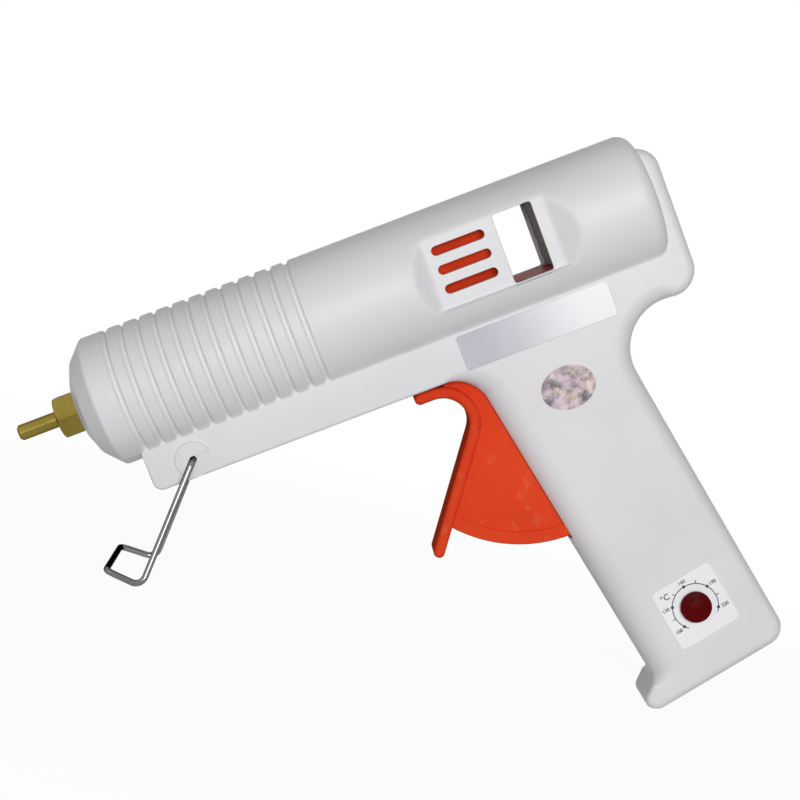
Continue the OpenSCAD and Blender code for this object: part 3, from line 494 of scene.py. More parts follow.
# The plate's fade to almost white towards its rear end is a painted reflection.
finish("name_silver", rgb(186, 187, 194), rgb(177, 178, 186), 0.42, 0.54, grain_scale=1400, drift_scale=40,
       painted_reflection=((116, -10.5, -25), (154, -10.5, -22), rgb(230, 232, 234)), Metallic=0.06,
       Specular_IOR_Level=0.15)
finish("seal_foil", rgb(216, 194, 204), rgb(96, 94, 102), 0.4, 0.5, grain_scale=1100, drift_scale=300,
       patch_tone=rgb(236, 220, 182), patch_scale=240, patch_least=0.52, patch_strength=0.8, Metallic=0.05,
       Specular_IOR_Level=0.2)
print("finishes that show:", len(bpy.data.materials))

# %% [markdown]
# ## The body's outside
# The barrel is one turned profile: a blunt nose, twelve cooling grooves and a rounded rear end. The flat
# window panel could be cut with a block, but on the real moulding its ends run out softly. So the vertices of
# the panel are moved in to the flat with a smooth minimum, which leaves those soft run-outs.

# %% Barrel sizes and soft limits
BARREL_R, BARREL_LEN, WALL = 20.0, 180.5, 2.2
SLAB_HALF, SEAM = 10.5, 0.12
PANEL_Y, PANEL_X, PANEL_END, PANEL_LEDGE, PANEL_SOFT = 16.0, 111.0, 149.3, -9.45, 0.7
RAMP_FRONT, RAMP_REAR, PANEL_DEPTH, LEDGE_RUN = 5.1, 6.5, 4.0, 0.5


def soft_min(a, b, k):
    h = max(k - abs(a - b), 0) / k
    return min(a, b) - h * h * k / 4


def soft_max(a, b, k):
    return -soft_min(-a, -b, k)


def panel_limit(x, z):
    rise = max(0, (PANEL_X - x) / RAMP_FRONT, (x - PANEL_END) / RAMP_REAR, (PANEL_LEDGE - z) / LEDGE_RUN)
    return PANEL_Y + rise * PANEL_DEPTH


# %% [markdown]
# A groove's section is a smooth dip, flat at its bottom. Along the panel the profile has a point every
# 0.8 mm, so that the run-outs have vertices to move.

# %% Barrel
GROOVE_FIRST, GROOVE_PITCH, GROOVE_COUNT, GROOVE_HALF, GROOVE_DEPTH = 15.0, 5.2, 12, 1.25, 0.9
GROOVE_DIP = [(-1.0, 0), (-0.82, 0.1), (-0.62, 0.45), (-0.42, 0.85), (-0.2, 1), (0.2, 1), (0.42, 0.85),
              (0.62, 0.45), (0.82, 0.1), (1.0, 0)]
REAR_R, AROUND_BARREL = 4.6, 180
profile = [(0, 0), (0, 9.5, 0.8), (2.16, 14.75, 3), (7.2, BARREL_R, 1.5)]
for number in range(GROOVE_COUNT):
    middle = GROOVE_FIRST + number * GROOVE_PITCH
    profile += [(middle + t * GROOVE_HALF, BARREL_R - d * GROOVE_DEPTH) for t, d in GROOVE_DIP]
panel_points = [100 + 0.8 * k for k in range(80)]
profile += [(x, BARREL_R) for x in [78, 84, 90, 95, *panel_points, 168]]
profile += [(BARREL_LEN, BARREL_R, REAR_R), (BARREL_LEN, 0)]
barrel = turned(profile, AROUND_BARREL, step=8)

CREASE_FROM, CREASE_TO, CREASE_SOFT, CREASE_SINK, ON_SEAM = 13.6, 179.0, 1.4, 0.02, 1e-3
for vert in barrel.verts:
    x, y, z = vert.co
    width = soft_min(abs(y), panel_limit(x, z), PANEL_SOFT)
    if z < 0 and CREASE_FROM < x < CREASE_TO and width > SLAB_HALF - CREASE_SOFT:
        width = soft_max(width, SLAB_HALF - CREASE_SINK, CREASE_SOFT)
    vert.co.y = math.copysign(width, y)
    if abs(y) < ON_SEAM and abs(z) > 1:
        vert.co.z = math.copysign(abs(z) - SEAM, z)
print("barrel faces:", len(barrel.faces))

# %% [markdown]
# Keel, grip and spine are one slab below and behind the barrel. Its outline is pulled out in rings, and each
# ring is drawn in by the rounding of its own edge: hardly at the keel, far at the grip's front. The
# first ring is drawn in a hair at the parting plane, which makes the seam between the halves.

# %% Keel, grip and spine
KEEL_Z, GRIP_X, SPINE_X, SPINE_TOP = -30.1, 111.9, 185.5, 14.9
TOE_NECK, TOE_TIP, TOE, HEEL = (132.330, -137.2), (125.982, -143.438), (129.941, -147.168), (174.989, -138.9)
SEAM_LIP, LEAST_EDGE = 0.3, 0.4
handle = [
    (13, -10, 0, 0.8, 0.8),
    (13, KEEL_Z, 3, 0.8, 0.8),
    (GRIP_X, KEEL_Z, 10, 0.8, 8.5),
    (*TOE_NECK, 3, 8.5, 2.0),
    (*TOE_TIP, 2.9, 2.0, 2.6),
    (*TOE, 4.6, 2.6, 3),
    (*HEEL, 6, 3, 3),
    (156.0, KEEL_Z, 15, 5.5, 5.5),
    (SPINE_X, KEEL_Z, 8.0, 3, 3),
    (SPINE_X, SPINE_TOP, 7.0, 3.5, 3.5),
    (150.5, SPINE_TOP, 0, 3.5, 3.5),
    (150.5, -10, 0, 0.8, 0.8),
]


def slab(half, inset, seam, turns=8):
    def ring(angle):
        def level(edge):
            e = max(edge - inset, LEAST_EDGE)
            return -(half - e + e * math.sin(angle)), inset + e * (1 - math.cos(angle))
        return level

    levels = [flat(0, inset + seam), flat(-SEAM_LIP, inset)]
    levels += [ring(math.radians(90 * k / turns)) for k in range(turns + 1)]
    bm = pulled(handle, levels, step=5)
    middle = [f for f in bm.faces if all(abs(v.co.y) < MERGE for v in f.verts)]
    bmesh.ops.delete(bm, geom=middle, context="FACES_ONLY")
    bmesh.ops.mirror(bm, geom=bm.verts[:] + bm.edges[:] + bm.faces[:], matrix=Matrix.Identity(4),
                     merge_dist=MERGE, axis="Y")
    return outward(bm)


outside = joined(barrel, slab(SLAB_HALF, 0, SEAM))
print("outside faces:", len(outside.faces))

# %% [markdown]
# At the stand's pivot each side has a low round boss, cut back over the angle that the leg swings through.
# The cut's edges are the leg's stops.

# %% Stand bosses
STAND_AT, STAND_LEAN, WIRE_R = (26.8, -24.6), math.radians(43), 0.95
BOSS_R, BOSS_H, BOSS_SINK, BOSS_EDGE = 5.4, 1.2, 0.6, 0.3
FOLD, LEG_PLAY = math.radians(133), 0.15
leg_way = Vector((-math.sin(STAND_LEAN), -math.cos(STAND_LEAN)))
fold_way = Matrix.Rotation(FOLD, 2) @ leg_way
mid_way = Matrix.Rotation(FOLD / 2, 2) @ leg_way


def stand_boss(side):
    disc = rod_across(STAND_AT, *sided(side, SLAB_HALF - BOSS_SINK, SLAB_HALF + BOSS_H), BOSS_R, 64)
    rounded(disc, [e for e in disc.edges if all(abs(v.co.y) > SLAB_HALF + 1 for v in e.verts)], BOSS_EDGE)
    room, reach, at = WIRE_R + LEG_PLAY, BOSS_R + 1, Vector(STAND_AT)
    points = [at - mid_way * room / math.sin(FOLD / 2), at + leg_way * reach - left_of(leg_way) * room,
              at + mid_way * 2 * reach, at + fold_way * reach + left_of(fold_way) * room]
    return cut(disc, plate(points, *sided(side, SLAB_HALF, SLAB_HALF + 3)))


outside = joined(outside, stand_boss(-1), stand_boss(1))
print("outside with bosses:", len(outside.faces))

# %% [markdown]
# ## The body's inside
# The shells are 2.2 mm thick, and the window and the vents show what is behind them. So the hollow is cut out
# with a smaller barrel and a smaller slab, and then the bulkhead, the feed rails and the bosses go back in.

# %% Hollow
HOLLOW_R, HOLLOW_END = BARREL_R - WALL, BARREL_LEN - WALL
FRONT_WALL, NOSE_R, STEP_X, STEP_R, GROOVES_X = 2.4, 9.8, 6.9, 14.05, 13
hollow_profile = [(FRONT_WALL, 0), (FRONT_WALL, NOSE_R), (STEP_X, NOSE_R), (STEP_X, STEP_R),
                  (GROOVES_X, STEP_R)]
hollow_profile += [(x, HOLLOW_R) for x in [GROOVES_X, 95, *panel_points[::2], HOLLOW_END]]
hollow_profile += [(HOLLOW_END, 0)]
hollow = turned(hollow_profile, 96)
for vert in hollow.verts:
    x, y, z = vert.co
    vert.co.y = math.copysign(min(abs(y), panel_limit(x, z) - WALL), y)
body = cut(outside, hollow, slab(SLAB_HALF - WALL, WALL, 0, turns=4))

# %% Bulkhead, rails and bosses
PIVOT = (123.4, -44.5)
SCREWS = [(48, -25), (92, -25), (178, -23), (150.4, -58), (HEEL[0] - 7.2, -125.6), (HEEL[0] - 34.9, -136.4)]
BULKHEAD_X, BULKHEAD_T, BULKHEAD_R = 146.4, 1.6, 18.3
RAIL_FROM, LOWER_RAIL_TO, UPPER_RAIL_TO = 98, 154, 132
PIVOT_BOSS_R, STAND_SOCKET_R, SCREW_BOSS_R = 4.2, 3, 3.4
bulkhead = combine(rod_along(BULKHEAD_X, BULKHEAD_X + BULKHEAD_T, BULKHEAD_R, 96),
                   block(146, 149, -14.4, 14.4, -9.1, 12.2), "INTERSECT")
fittings = []
for side in (-1, 1):
    fittings += [block(RAIL_FROM, LOWER_RAIL_TO, *sided(side, 8.6, 13.0), -13.9, -12.3),
                 block(RAIL_FROM, UPPER_RAIL_TO, *sided(side, 8.5, 13.4), 11.3, 12.8),
                 rod_across(PIVOT, *sided(side, 6.3, 9.0), PIVOT_BOSS_R),
                 rod_across(STAND_AT, *sided(side, 4.4, 9.9), STAND_SOCKET_R)]
    fittings += [rod_across(spot, *sided(side, -0.02, 8.9), SCREW_BOSS_R, 40) for spot in SCREWS]
body = joined(body, *fittings, bulkhead)
print("hollow body:", len(body.faces))

# %% [markdown]
# ## Openings
# The window and the vents go through both sides. Their cutters flare a little at the outside, so that each
# edge has the small soft break of a moulding. The nozzle's hole, the stick's inlet and the trigger's slot
# follow.

# %% Openings on both sides
WINDOW, WINDOW_IN, WINDOW_FLARE = box_corners(133.4, -9.2, 145.3, 11.7, 0.7), 10, 0.35
VENT_X, VENT_LEN, VENT_W, VENT_IN, VENT_FLARE = 121.7, 16.2, 2.75, 12.8, 0.25
VENT_LEVELS = (7.75, 1.9, -3.95)
NOZZLE_HOLE_R, STICK_HOLE_R, SLOT_HALF, SLOT_LOW, PAST_SIDE = 7.6, 8.05, 5.8, -88.25, 21


def flared(corners, y_in, flare):
    """A cutter for the left side that widens at the panel's face."""
    wide = -flare * 1.6
    return pulled(corners, [flat(-y_in), flat(flare - PANEL_Y), flat(-PANEL_Y, -flare * 0.45),
                            flat(-PANEL_Y - flare, wide), flat(-PAST_SIDE, wide)], step=10)


cutters = []
for side in (1, -1):
    made = [flared(WINDOW, WINDOW_IN, WINDOW_FLARE)]
    for z in VENT_LEVELS:
        vent = box_corners(VENT_X - VENT_LEN / 2, z - VENT_W / 2, VENT_X + VENT_LEN / 2, z + VENT_W / 2,
                           VENT_W / 2 - 0.01)
        made.append(flared(vent, VENT_IN, VENT_FLARE))
    made.append(rod_across(STAND_AT, -14, -4.8, WIRE_R + 0.1, 24))
    for cutter in made:
        if side < 0:
            bmesh.ops.scale(cutter, vec=(1, -1, 1), verts=cutter.verts)
            bmesh.ops.reverse_faces(cutter, faces=cutter.faces)
        cutters.append(cutter)
cutters += [rod_along(-1, 3.4, NOZZLE_HOLE_R), rod_along(182.3, 187, STICK_HOLE_R)]
slot_keel = block(99.9, 120.4, -SLOT_HALF, SLOT_HALF, -36.1, -27.8)
slot_grip = plate([(106.9, KEEL_Z), (106.9, SLOT_LOW), (128.0, SLOT_LOW), (117.9, KEEL_Z)],
                  -SLOT_HALF, SLOT_HALF)
body = cut(body, gathered(cutters), slot_keel, slot_grip)
print("body with openings:", len(body.faces))

# %% [markdown]
# ## Two halves
# A block on each side takes one half. The left one then gets the dial's hole and the plate's recess, the
# right one the counterbores for the screws. The cord's inlet in the butt is shared by both.

# %% Halves
DIAL_AT, BUTT_TILT, BUTT_Z = Vector((151.1, 0, -119.9)), math.radians(10.4), -23.0
CORD_X, CORD_HOLE_R, CORD_HOLE_DEPTH = 4.0, 5.25, 8
ON_DIAL = Matrix.Translation(DIAL_AT) @ Matrix.Rotation(-BUTT_TILT, 4, "Y")
body = cut(body, rod(ON_DIAL @ Matrix.Translation((CORD_X, 0, BUTT_Z)), CORD_HOLE_DEPTH, CORD_HOLE_R, 48))
left_half = combine(body.copy(), block(-30, 220, -40, 0, -180, 60), "INTERSECT")
right_half = combine(body, block(-30, 220, 0, 40, -180, 60), "INTERSECT")

KNOB_HOLE_R, LABEL_GAP, LABEL_FLOOR = 4.3, 0.05, 0.2 - SLAB_HALF
SCREW_HOLE_R, SCREW_HEAD_R, SCREW_HEAD_Y, FACING = 1.7, 3.1, 4.5, 0.7


def label(gap=0.0):
    """The silver plate's outline, or with a gap around it that of its recess."""
    return box_corners(111.75 - gap, -28.9 - gap, 159.1 + gap, -18.3 + gap, 1)


dial_hole = rod_across((DIAL_AT.x, DIAL_AT.z), -14, -7, KNOB_HOLE_R, 64)
label_recess = pulled(label(LABEL_GAP), [flat(LABEL_FLOOR), flat(-SLAB_HALF), flat(-13, -0.6)])
left_half = cut(left_half, gathered([dial_hole, label_recess]))
for spot in SCREWS:
    shank, head = rod_across(spot, -1, 6, SCREW_HOLE_R, 32), rod_across(spot, SCREW_HEAD_Y, 14, SCREW_HEAD_R)
    right_half = cut(right_half, joined(shank, head))


def painted_shade_walls(at, way):
    """Faces of the bulkhead and of the window's rear and lower walls, which take a painted shade."""
    inside_wall = abs(at.y) < PANEL_Y - 0.3 and 133 < at.x < 149 and -13 < at.z < 12.4
    return inside_wall and (way.x < -FACING and at.x > 145 or way.z > FACING and at.z < -9)


# The bulkhead and the window's inner walls get the painted shade.
for name, half, node in (("left_body_half", left_half, "left_shell"),
                         ("right_body_half", right_half, "right_shell")):
    finished(name, half, "body_white", "housing", [node], walls=painted_shade_walls,
             inner="window_painted_shade")

# %% [markdown]
# ## Trigger
# The finger bar is a bead with round edges, bent once over the finger. A thin web joins it to a curved rim
# that slides into the grip. Each is an outline pulled out, and the Boolean joins them. The bar's rounding
# takes almost all of its thickness, and a bevel that wide folds over itself in the bend, so the bar is
# stacked from levels. The arm inside the body has an open slot for the carriage's drive pin.

# %% Finger bar and rim
BAR_T, BAR_HALF, BAR_END_R, BEAD_R, FINGER_R = 3.4, 7.5, 1.65, 1.5, 7.9
RIM_R, RIM_T, RIM_HALF, RIM_EDGE, RIM_FROM, RIM_TO = 42.75, 4, 5.4, 0.5, 217, 280
tip, bend_top, horn = Vector((82.4, -78.1)), Vector((115.0, -34.0)), Vector((93.9, -34.0))
rise = (bend_top - tip).normalized()
outer_side = -left_of(rise)
outer_tip = tip + outer_side * BAR_T
outer_bend = outer_tip + rise * ((horn.y + BAR_T - outer_tip.y) / rise.y)
quarter = [math.radians(15 * k) for k in range(7)]
bead = [(BAR_HALF - BEAD_R * (1 - math.cos(a)), BEAD_R * (1 - math.sin(a))) for a in quarter]
bar = pulled([(*tip, BAR_END_R), (*outer_tip, BAR_END_R), (*outer_bend, FINGER_R + BAR_T),
              (horn.x, horn.y + BAR_T, BAR_END_R), (*horn, BAR_END_R), (*bend_top, FINGER_R)],
             [flat(-y, inset) for y, inset in bead] + [flat(y, inset) for y, inset in reversed(bead)], step=8)
rim_angles = [RIM_FROM + (RIM_TO - RIM_FROM) * k / 20 for k in range(21)]
rim = plate([polar(RIM_R, a, PIVOT) for a in rim_angles]
            + [polar(RIM_R - RIM_T, a, PIVOT) for a in reversed(rim_angles)], -RIM_HALF, RIM_HALF, RIM_EDGE)

# %% Web, arm and trigger
WEB_HALF, HUB_R, HUB_HALF, HUB_HOLE_R, PAST_HUB = 4.6, 4.6, 6, 2.05, 9
ARM_LEAN, ARM_SIDE, ARM_HALF, CARRIAGE_Z, ARM_GAP = math.radians(-12), 3.6, 4, -12.0, 0.3
DRIVE_FROM, DRIVE_TO, DRIVE_SIDE = 28.2, 36, 1.65
turn = math.pi - math.atan2(rise.y, rise.x)
bend_start = bend_top - rise * FINGER_R * math.tan(turn / 2)
bend_centre = bend_start + left_of(rise) * FINGER_R
mid_spoke = outer_side * (FINGER_R + BAR_T / 2)
over_finger = [bend_centre + Matrix.Rotation(turn * k / 12, 2) @ mid_spoke for k in range(12, -1, -1)]
web = plate([tip + outer_side * BAR_T / 2] + [polar(RIM_R - 1, a, PIVOT) for a in rim_angles]
            + [polar(3.3, a, PIVOT) for a in (280, 350, 60)]
            + [(GRIP_X + 5, KEEL_Z - 0.3), (GRIP_X - 6, KEEL_Z - 0.3)] + over_finger, -WEB_HALF, WEB_HALF)
hub_at = Vector(PIVOT)
arm_way = Matrix.Rotation(ARM_LEAN, 2) @ Vector((0, 1))


def along_arm(start, end, half_side, half):
    """A block along the trigger's arm, between two distances from the pivot."""
    side = left_of(arm_way) * half_side
    return plate([hub_at - side + arm_way * start, hub_at - side + arm_way * end,
                  hub_at + side + arm_way * end, hub_at + side + arm_way * start], -half, half)


arm = along_arm(0, CARRIAGE_Z - PIVOT[1] - ARM_GAP, ARM_SIDE, ARM_HALF)
trigger = joined(bar, web, rim, rod_across(PIVOT, -HUB_HALF, HUB_HALF, HUB_R), arm)
trigger = cut(trigger, gathered([rod_across(PIVOT, -PAST_HUB, PAST_HUB, HUB_HOLE_R),
                                 along_arm(DRIVE_FROM, DRIVE_TO, DRIVE_SIDE, PAST_HUB)]))
finished("finger_trigger", trigger, "trigger_orange", "trigger", ["trigger"])

# %% [markdown]
# ## Nozzle
# The nozzle is turned from hexagon brass: a thin tube with a chamfered rim, a hexagon for the spanner and a
# thread that runs into the melt chamber. The hexagon's front corners are chamfered by the lathe, so a turned
# blank with a sloping shoulder is intersected with a six-sided bar. The bore is cut last.

# %% Nozzle
TIP_X, TIP_R, TIP_CHAMFER, TURNED_EDGE = -20.1, 2.4, 0.6, 0.2
HEX_X, HEX_AF, HEX_END, HEX_FACE_R, BLANK_R = -7.2, 12.0, 2.6, 5.9, 7.1
THREAD_R, THREAD_END, JET_R, BORE_R, BORE_X, HEX_EDGE = 5.0, 11.8, 1.2, 3.0, -6.2, 0.18
tube = turned([(TIP_X, 0), (TIP_X, TIP_R - TIP_CHAMFER, TURNED_EDGE),
               (TIP_X + TIP_CHAMFER, TIP_R, TURNED_EDGE), (HEX_X + 1, TIP_R), (HEX_X + 1, 0)], 48, step=9)
blank = turned([(HEX_X, 0), (HEX_X, HEX_FACE_R, TURNED_EDGE), (HEX_X + 0.7, BLANK_R), (HEX_END, BLANK_R),
                (HEX_END, 0)], 96)
hexagon = combine(rod_along(HEX_X - 1, 4, HEX_AF / math.sqrt(3), 6), blank, "INTERSECT")
nozzle = joined(hexagon, tube, rod_along(HEX_END - 0.1, THREAD_END, THREAD_R, 48))
nozzle = cut(nozzle, rod_along(TIP_X - 1, BORE_X + 0.1, JET_R, 32), rod_along(BORE_X, 12, BORE_R, 40))
rims = [e for e in nozzle.edges if e.is_manifold and e.calc_face_angle() > 0.9
        and all(HEX_X + 0.2 < v.co.x < HEX_END - 0.1 and v.co.yz.length > 6 for v in e.verts)]
rounded(nozzle, rims, HEX_EDGE)
finished("brass_nozzle", nozzle, "nozzle_brass", "housing", ["nozzle"])

# %% [markdown]
# ## Wire stand
# The stand is one bent wire: two hooks that sit in the bosses, two legs that spread, and a turned-up foot. A
# circle is drawn along it, extruded where the wire is straight and spun where it is bent, as a wire former
# does it. A bevelled curve would do too, but its section turns in the bends.

# %% Drawn wire
def drawn_wire(points, radius, bend, segments=24):
    bm = bmesh.new()
    points = [Vector(point) for point in points]
    facing = Vector((0, 0, 1)).rotation_difference(points[1] - points[0]).to_matrix().to_4x4()
    bmesh.ops.create_circle(bm, cap_ends=False, segments=segments, radius=radius,
                            matrix=Matrix.Translation(points[0]) @ facing)
    ring, at = bm.edges[:], points[0]
    for number, here in enumerate(points[1:], 1):
        u = (here - points[number - 1]).normalized()
        v = (points[number + 1] - here).normalized() if number + 1 < len(points) else u
        trim = bend * math.tan(u.angle(v) / 2)
        made = bmesh.ops.extrude_edge_only(bm, edges=ring)["geom"]
        verts = set(only(bmesh.types.BMVert, made))
        ring = [edge for edge in only(bmesh.types.BMEdge, made) if set(edge.verts) <= verts]
        bmesh.ops.translate(bm, vec=here - u * trim - at, verts=list(verts))
        if trim > MERGE:
            inward = (v - u * u.dot(v)).normalized()
            centre = here - u * trim + inward * bend
            last = bmesh.ops.spin(bm, geom=list(verts) + ring, cent=centre, axis=u.cross(v),
                                  angle=u.angle(v), steps=10)["geom_last"]
            ring = only(bmesh.types.BMEdge, last)
        at = here + v * trim
    bmesh.ops.holes_fill(merged(bm), edges=bm.edges, sides=0)
    return outward(bm)


LEG, FOOT, BEND_R, BEND_HALF, FRONT_HALF, HOOK_IN = 38.8, 11.4, 3.0, 20.4, 17.5, 5
foot_way = Vector((-math.cos(STAND_LEAN), math.sin(STAND_LEAN)))
bend_at = Vector(STAND_AT) + leg_way * LEG
front_at = bend_at + foot_way * FOOT
near = [(STAND_AT[0], -HOOK_IN, STAND_AT[1]), (STAND_AT[0], -SLAB_HALF - 0.3 - WIRE_R, STAND_AT[1]),
        (bend_at.x, -BEND_HALF, bend_at.y), (front_at.x, -FRONT_HALF, front_at.y)]
far = [(x, -y, z) for x, y, z in reversed(near)]
# The stand's finish carries painted dark reflections.
finished("wire_stand", drawn_wire(near + far, WIRE_R, BEND_R), "stand_painted_reflections", "stand",
         ["stand_wire"], sharp=50)

# %% [markdown]
# ## Dial plate and its print
# The temperature scale is a glossy white plate with a soft edge and a hole for the knob. Its arc, dots, ticks
# and figures are printed. Print has no thickness to see, but a thin closed mesh keeps it sharp from near by,
# which a painted texture would need a large picture for. All of it is drawn on the butt's own axes.

# %% Dial plate
PLATE_FACE, DIAL_W, DIAL_H, SCALE_R = SLAB_HALF + 0.5, 20.4, 20.0, 7.0
RIM_WIDTH, RIM_STEP, RIM_SLOPE, PLATE_EDGE = 0.5, 0.12, 0.985, 0.22


def moved(bm, matrix):
    bmesh.ops.transform(bm, matrix=matrix, verts=bm.verts)
    return bm


def dial_outline(inset, radius):
    return box_corners(inset - DIAL_W / 2, inset - DIAL_H / 2, DIAL_W / 2 - inset, DIAL_H / 2 - inset, radius)


dial_plate = plate(dial_outline(0, 1.6), -PLATE_FACE, -SLAB_HALF, PLATE_EDGE, segments=4)
inner_rim = plate(dial_outline(RIM_WIDTH, 1.2), -PLATE_FACE - 1, RIM_STEP - PLATE_FACE)
bmesh.ops.scale(inner_rim, vec=(RIM_SLOPE, 1, RIM_SLOPE),
                verts=[v for v in inner_rim.verts if v.co.y > -PLATE_FACE - 0.5])
dial_plate = cut(dial_plate, inner_rim, rod_across((0, 0), -14, -9, KNOB_HOLE_R, 64))
finished("temperature_plate", moved(dial_plate, ON_DIAL), "dial_white", "housing",
         ["dial_plate"])

# %% Dial print
INK_FACE, INK_BACK = 0.09 - PLATE_FACE, 0.16 - PLATE_FACE
LINE_HALF, TICK_HALF, TICK, DOT_R, FIGURE_SIZE, UNIT_SIZE, SWELL = 0.14, 0.13, 1.0, 0.5, 1.55, 2.6, 0.035
FIGURES = {"100": (212, 9.1, 208), "130": (152, 9.0, 158), "160": (91, 8.5, 90), "190": (30, 8.9, 25),
           "220": (-33, 9.0, -27)}


def swung(bm, degrees):
    """Turned round the dial's centre."""
    bmesh.ops.rotate(bm, verts=bm.verts, cent=(0, 0, 0),
                     matrix=Matrix.Rotation(-math.radians(degrees), 3, "Y"))
    return bm


def printed_arc(first, last, radius, half):
    bm = bmesh.new()
    ends = [bm.verts.new((r, y, 0)) for r, y in ((radius - half, INK_FACE), (radius + half, INK_FACE),
                                                 (radius + half, INK_BACK), (radius - half, INK_BACK))]
    section = bm.faces.new(ends)
    swung(bm, first)
    bmesh.ops.spin(bm, geom=[section], cent=(0, 0, 0), axis=(0, -1, 0), angle=math.radians(last - first),
                   steps=60)
    return outward(bm)


def printed_text(words, size, at):
    """Letters as a thin closed mesh, upright on the plate and centred at a point."""
    letters = bpy.data.curves.new("letters", "FONT")
    letters.body, letters.size, letters.align_x, letters.align_y = words, size, "CENTER", "CENTER"
    letters.extrude, letters.offset = (INK_BACK - INK_FACE) / 2, SWELL
    passing = in_scene("letters", letters)
    ready = passing.evaluated_get(bpy.context.evaluated_depsgraph_get())
    bm = bmesh.new()
    bm.from_mesh(ready.to_mesh())
    ready.to_mesh_clear()
    bpy.data.objects.remove(passing)
    bpy.data.curves.remove(letters)
    middle = (INK_FACE + INK_BACK) / 2
    stand_up = Matrix(((1, 0, 0, at[0]), (0, 0, -1, middle), (0, 1, 0, at[1]), (0, 0, 0, 1)))
    return moved(merged(bm), stand_up)


printed = [printed_arc(-46, 224, SCALE_R, LINE_HALF)]
for words, (mark, text_r, text_at) in FIGURES.items():
    printed.append(rod_across(polar(SCALE_R, mark), INK_FACE - 0.001, INK_BACK + 0.001, DOT_R, 24))
    printed.append(printed_text(words, FIGURE_SIZE, polar(text_r, text_at)))
marks = sorted(mark for mark, *_ in FIGURES.values())
for low, high in zip(marks, marks[1:]):
    tick = block(SCALE_R, SCALE_R + TICK, INK_FACE, INK_BACK, -TICK_HALF, TICK_HALF)
    printed.append(swung(tick, (low + high) / 2))
printed.append(printed_text("\u00b0C", UNIT_SIZE, polar(9.6, 134)))
finished("temperature_print", moved(gathered(printed), ON_DIAL), "dial_ink", "housing")

# %% [markdown]
# ## Knob
# The knob is a dark red domed button with a skirt that runs through the plate to the shaft. It is a turned
# piece, so the barrel's turning tool makes it, and a quarter turn sets its axis across the body. A small
# dimple on its dome shows which way it points.

# %% Knob
KNOB_R, KNOB_FOOT, KNOB_H, DOME_RISE, DOME_EDGE = 4.7, PLATE_FACE + 0.3, 2.6, 1.0, 0.55
SHAFT_R, SHAFT_END, SKIRT_R, SKIRT_END, DIMPLE_R = 1.65, 10.5, 4.0, 7.3, 0.7
KNOB_TOP = KNOB_FOOT + KNOB_H
dome = [(KNOB_TOP - DOME_RISE * (k / 8) ** 2, (KNOB_R - DOME_EDGE) * k / 8) for k in range(1, 9)]
knob = turned([(SHAFT_END, 0), (SHAFT_END, SHAFT_R), (SKIRT_END, SHAFT_R), (SKIRT_END, SKIRT_R),
               (KNOB_FOOT, SKIRT_R), (KNOB_FOOT, KNOB_R, 0.15), (KNOB_TOP - DOME_RISE, KNOB_R, 0.45),
               *reversed(dome), (KNOB_TOP, 0)], 96, step=12)
dimple = bmesh.new()
bmesh.ops.create_uvsphere(dimple, u_segments=24, v_segments=16, radius=DIMPLE_R,
                          matrix=Matrix.Translation((KNOB_TOP - 0.15, 0, KNOB_R - 1.6)))
knob = cut(knob, dimple)
QUARTER_TURN = Matrix(((0, 1, 0, 0), (-1, 0, 0, 0), (0, 0, 1, 0), (0, 0, 0, 1)))
knob = moved(moved(knob, QUARTER_TURN), ON_DIAL)
finished("red_knob", knob, "knob_red", "dial", ["dial_knob"], sharp=30)

# %% [markdown]
# ## Foil plates
# A silver plate lies in the recess under the window, and an oval foil seal on the grip. Both are left bare.
# The plate's foil is lilac grey and brightens to almost white towards its rear end with a painted reflection,
# and the seal's foil shifts between pale tones.

# %% Foil plates
LABEL_PROUD, LABEL_EDGE = 0.05, 0.06
SEAL_X, SEAL_Z, SEAL_HALF_W, SEAL_HALF_H, SEAL_T, SEAL_EDGE = PIVOT[0] + 14.5, -44, 8.3, 6.5, 0.15, 0.05
name_plate = plate(label(), -SLAB_HALF - LABEL_PROUD, LABEL_FLOOR, LABEL_EDGE, segments=2)
finished("bare_name_plate", name_plate, "name_silver", "housing", ["name_plate"])
seal = rod_across((0, 0), -SLAB_HALF - SEAL_T, -SLAB_HALF, 1.0, 72)
bmesh.ops.scale(seal, vec=(SEAL_HALF_W, 1, SEAL_HALF_H), verts=seal.verts)
bmesh.ops.translate(seal, vec=(SEAL_X, 0, SEAL_Z), verts=seal.verts)
rounded(seal, [e for e in seal.edges if all(v.co.y < -SLAB_HALF - 0.1 for v in e.verts)], SEAL_EDGE)
finished("bare_seal", seal, "seal_foil", "housing", ["oval_seal"])

# %% [markdown]
# ## Finishes inside
# What is inside is mostly hidden. The metals differ in tone and polish, the mouldings in grain.

# %% Finishes inside
finish("screw_steel", rgb(176, 176, 180), rgb(150, 150, 156), 0.22, 0.36, bump=0.08, Metallic=1.0)
finish("spring_steel", rgb(132, 124, 118), rgb(100, 92, 86), 0.34, 0.5, Metallic=1.0)
finish("cast_aluminium", rgb(190, 190, 194), rgb(160, 160, 166), 0.34, 0.55, grain_scale=420, bump=0.25,
       patch_tone=rgb(120, 118, 116), patch_scale=120, Metallic=1.0)
finish("heater_ceramic", rgb(190, 140, 92), rgb(160, 112, 70), 0.5, 0.7, grain_scale=500, bump=0.2)
finish("insulator", rgb(222, 208, 176), rgb(206, 190, 156), 0.5, 0.7, grain_scale=600, bump=0.2)
finish("silicone_red", rgb(168, 44, 34), rgb(146, 32, 26), 0.4, 0.55, grain_scale=800, bump=0.1)
finish("feed_orange", rgb(214, 56, 6), rgb(168, 34, 4), 0.4, 0.56, bump=0.1, patch_tone=rgb(128, 24, 6),
       patch_scale=90, patch_least=0.58, patch_strength=0.5, Specular_IOR_Level=0.05)
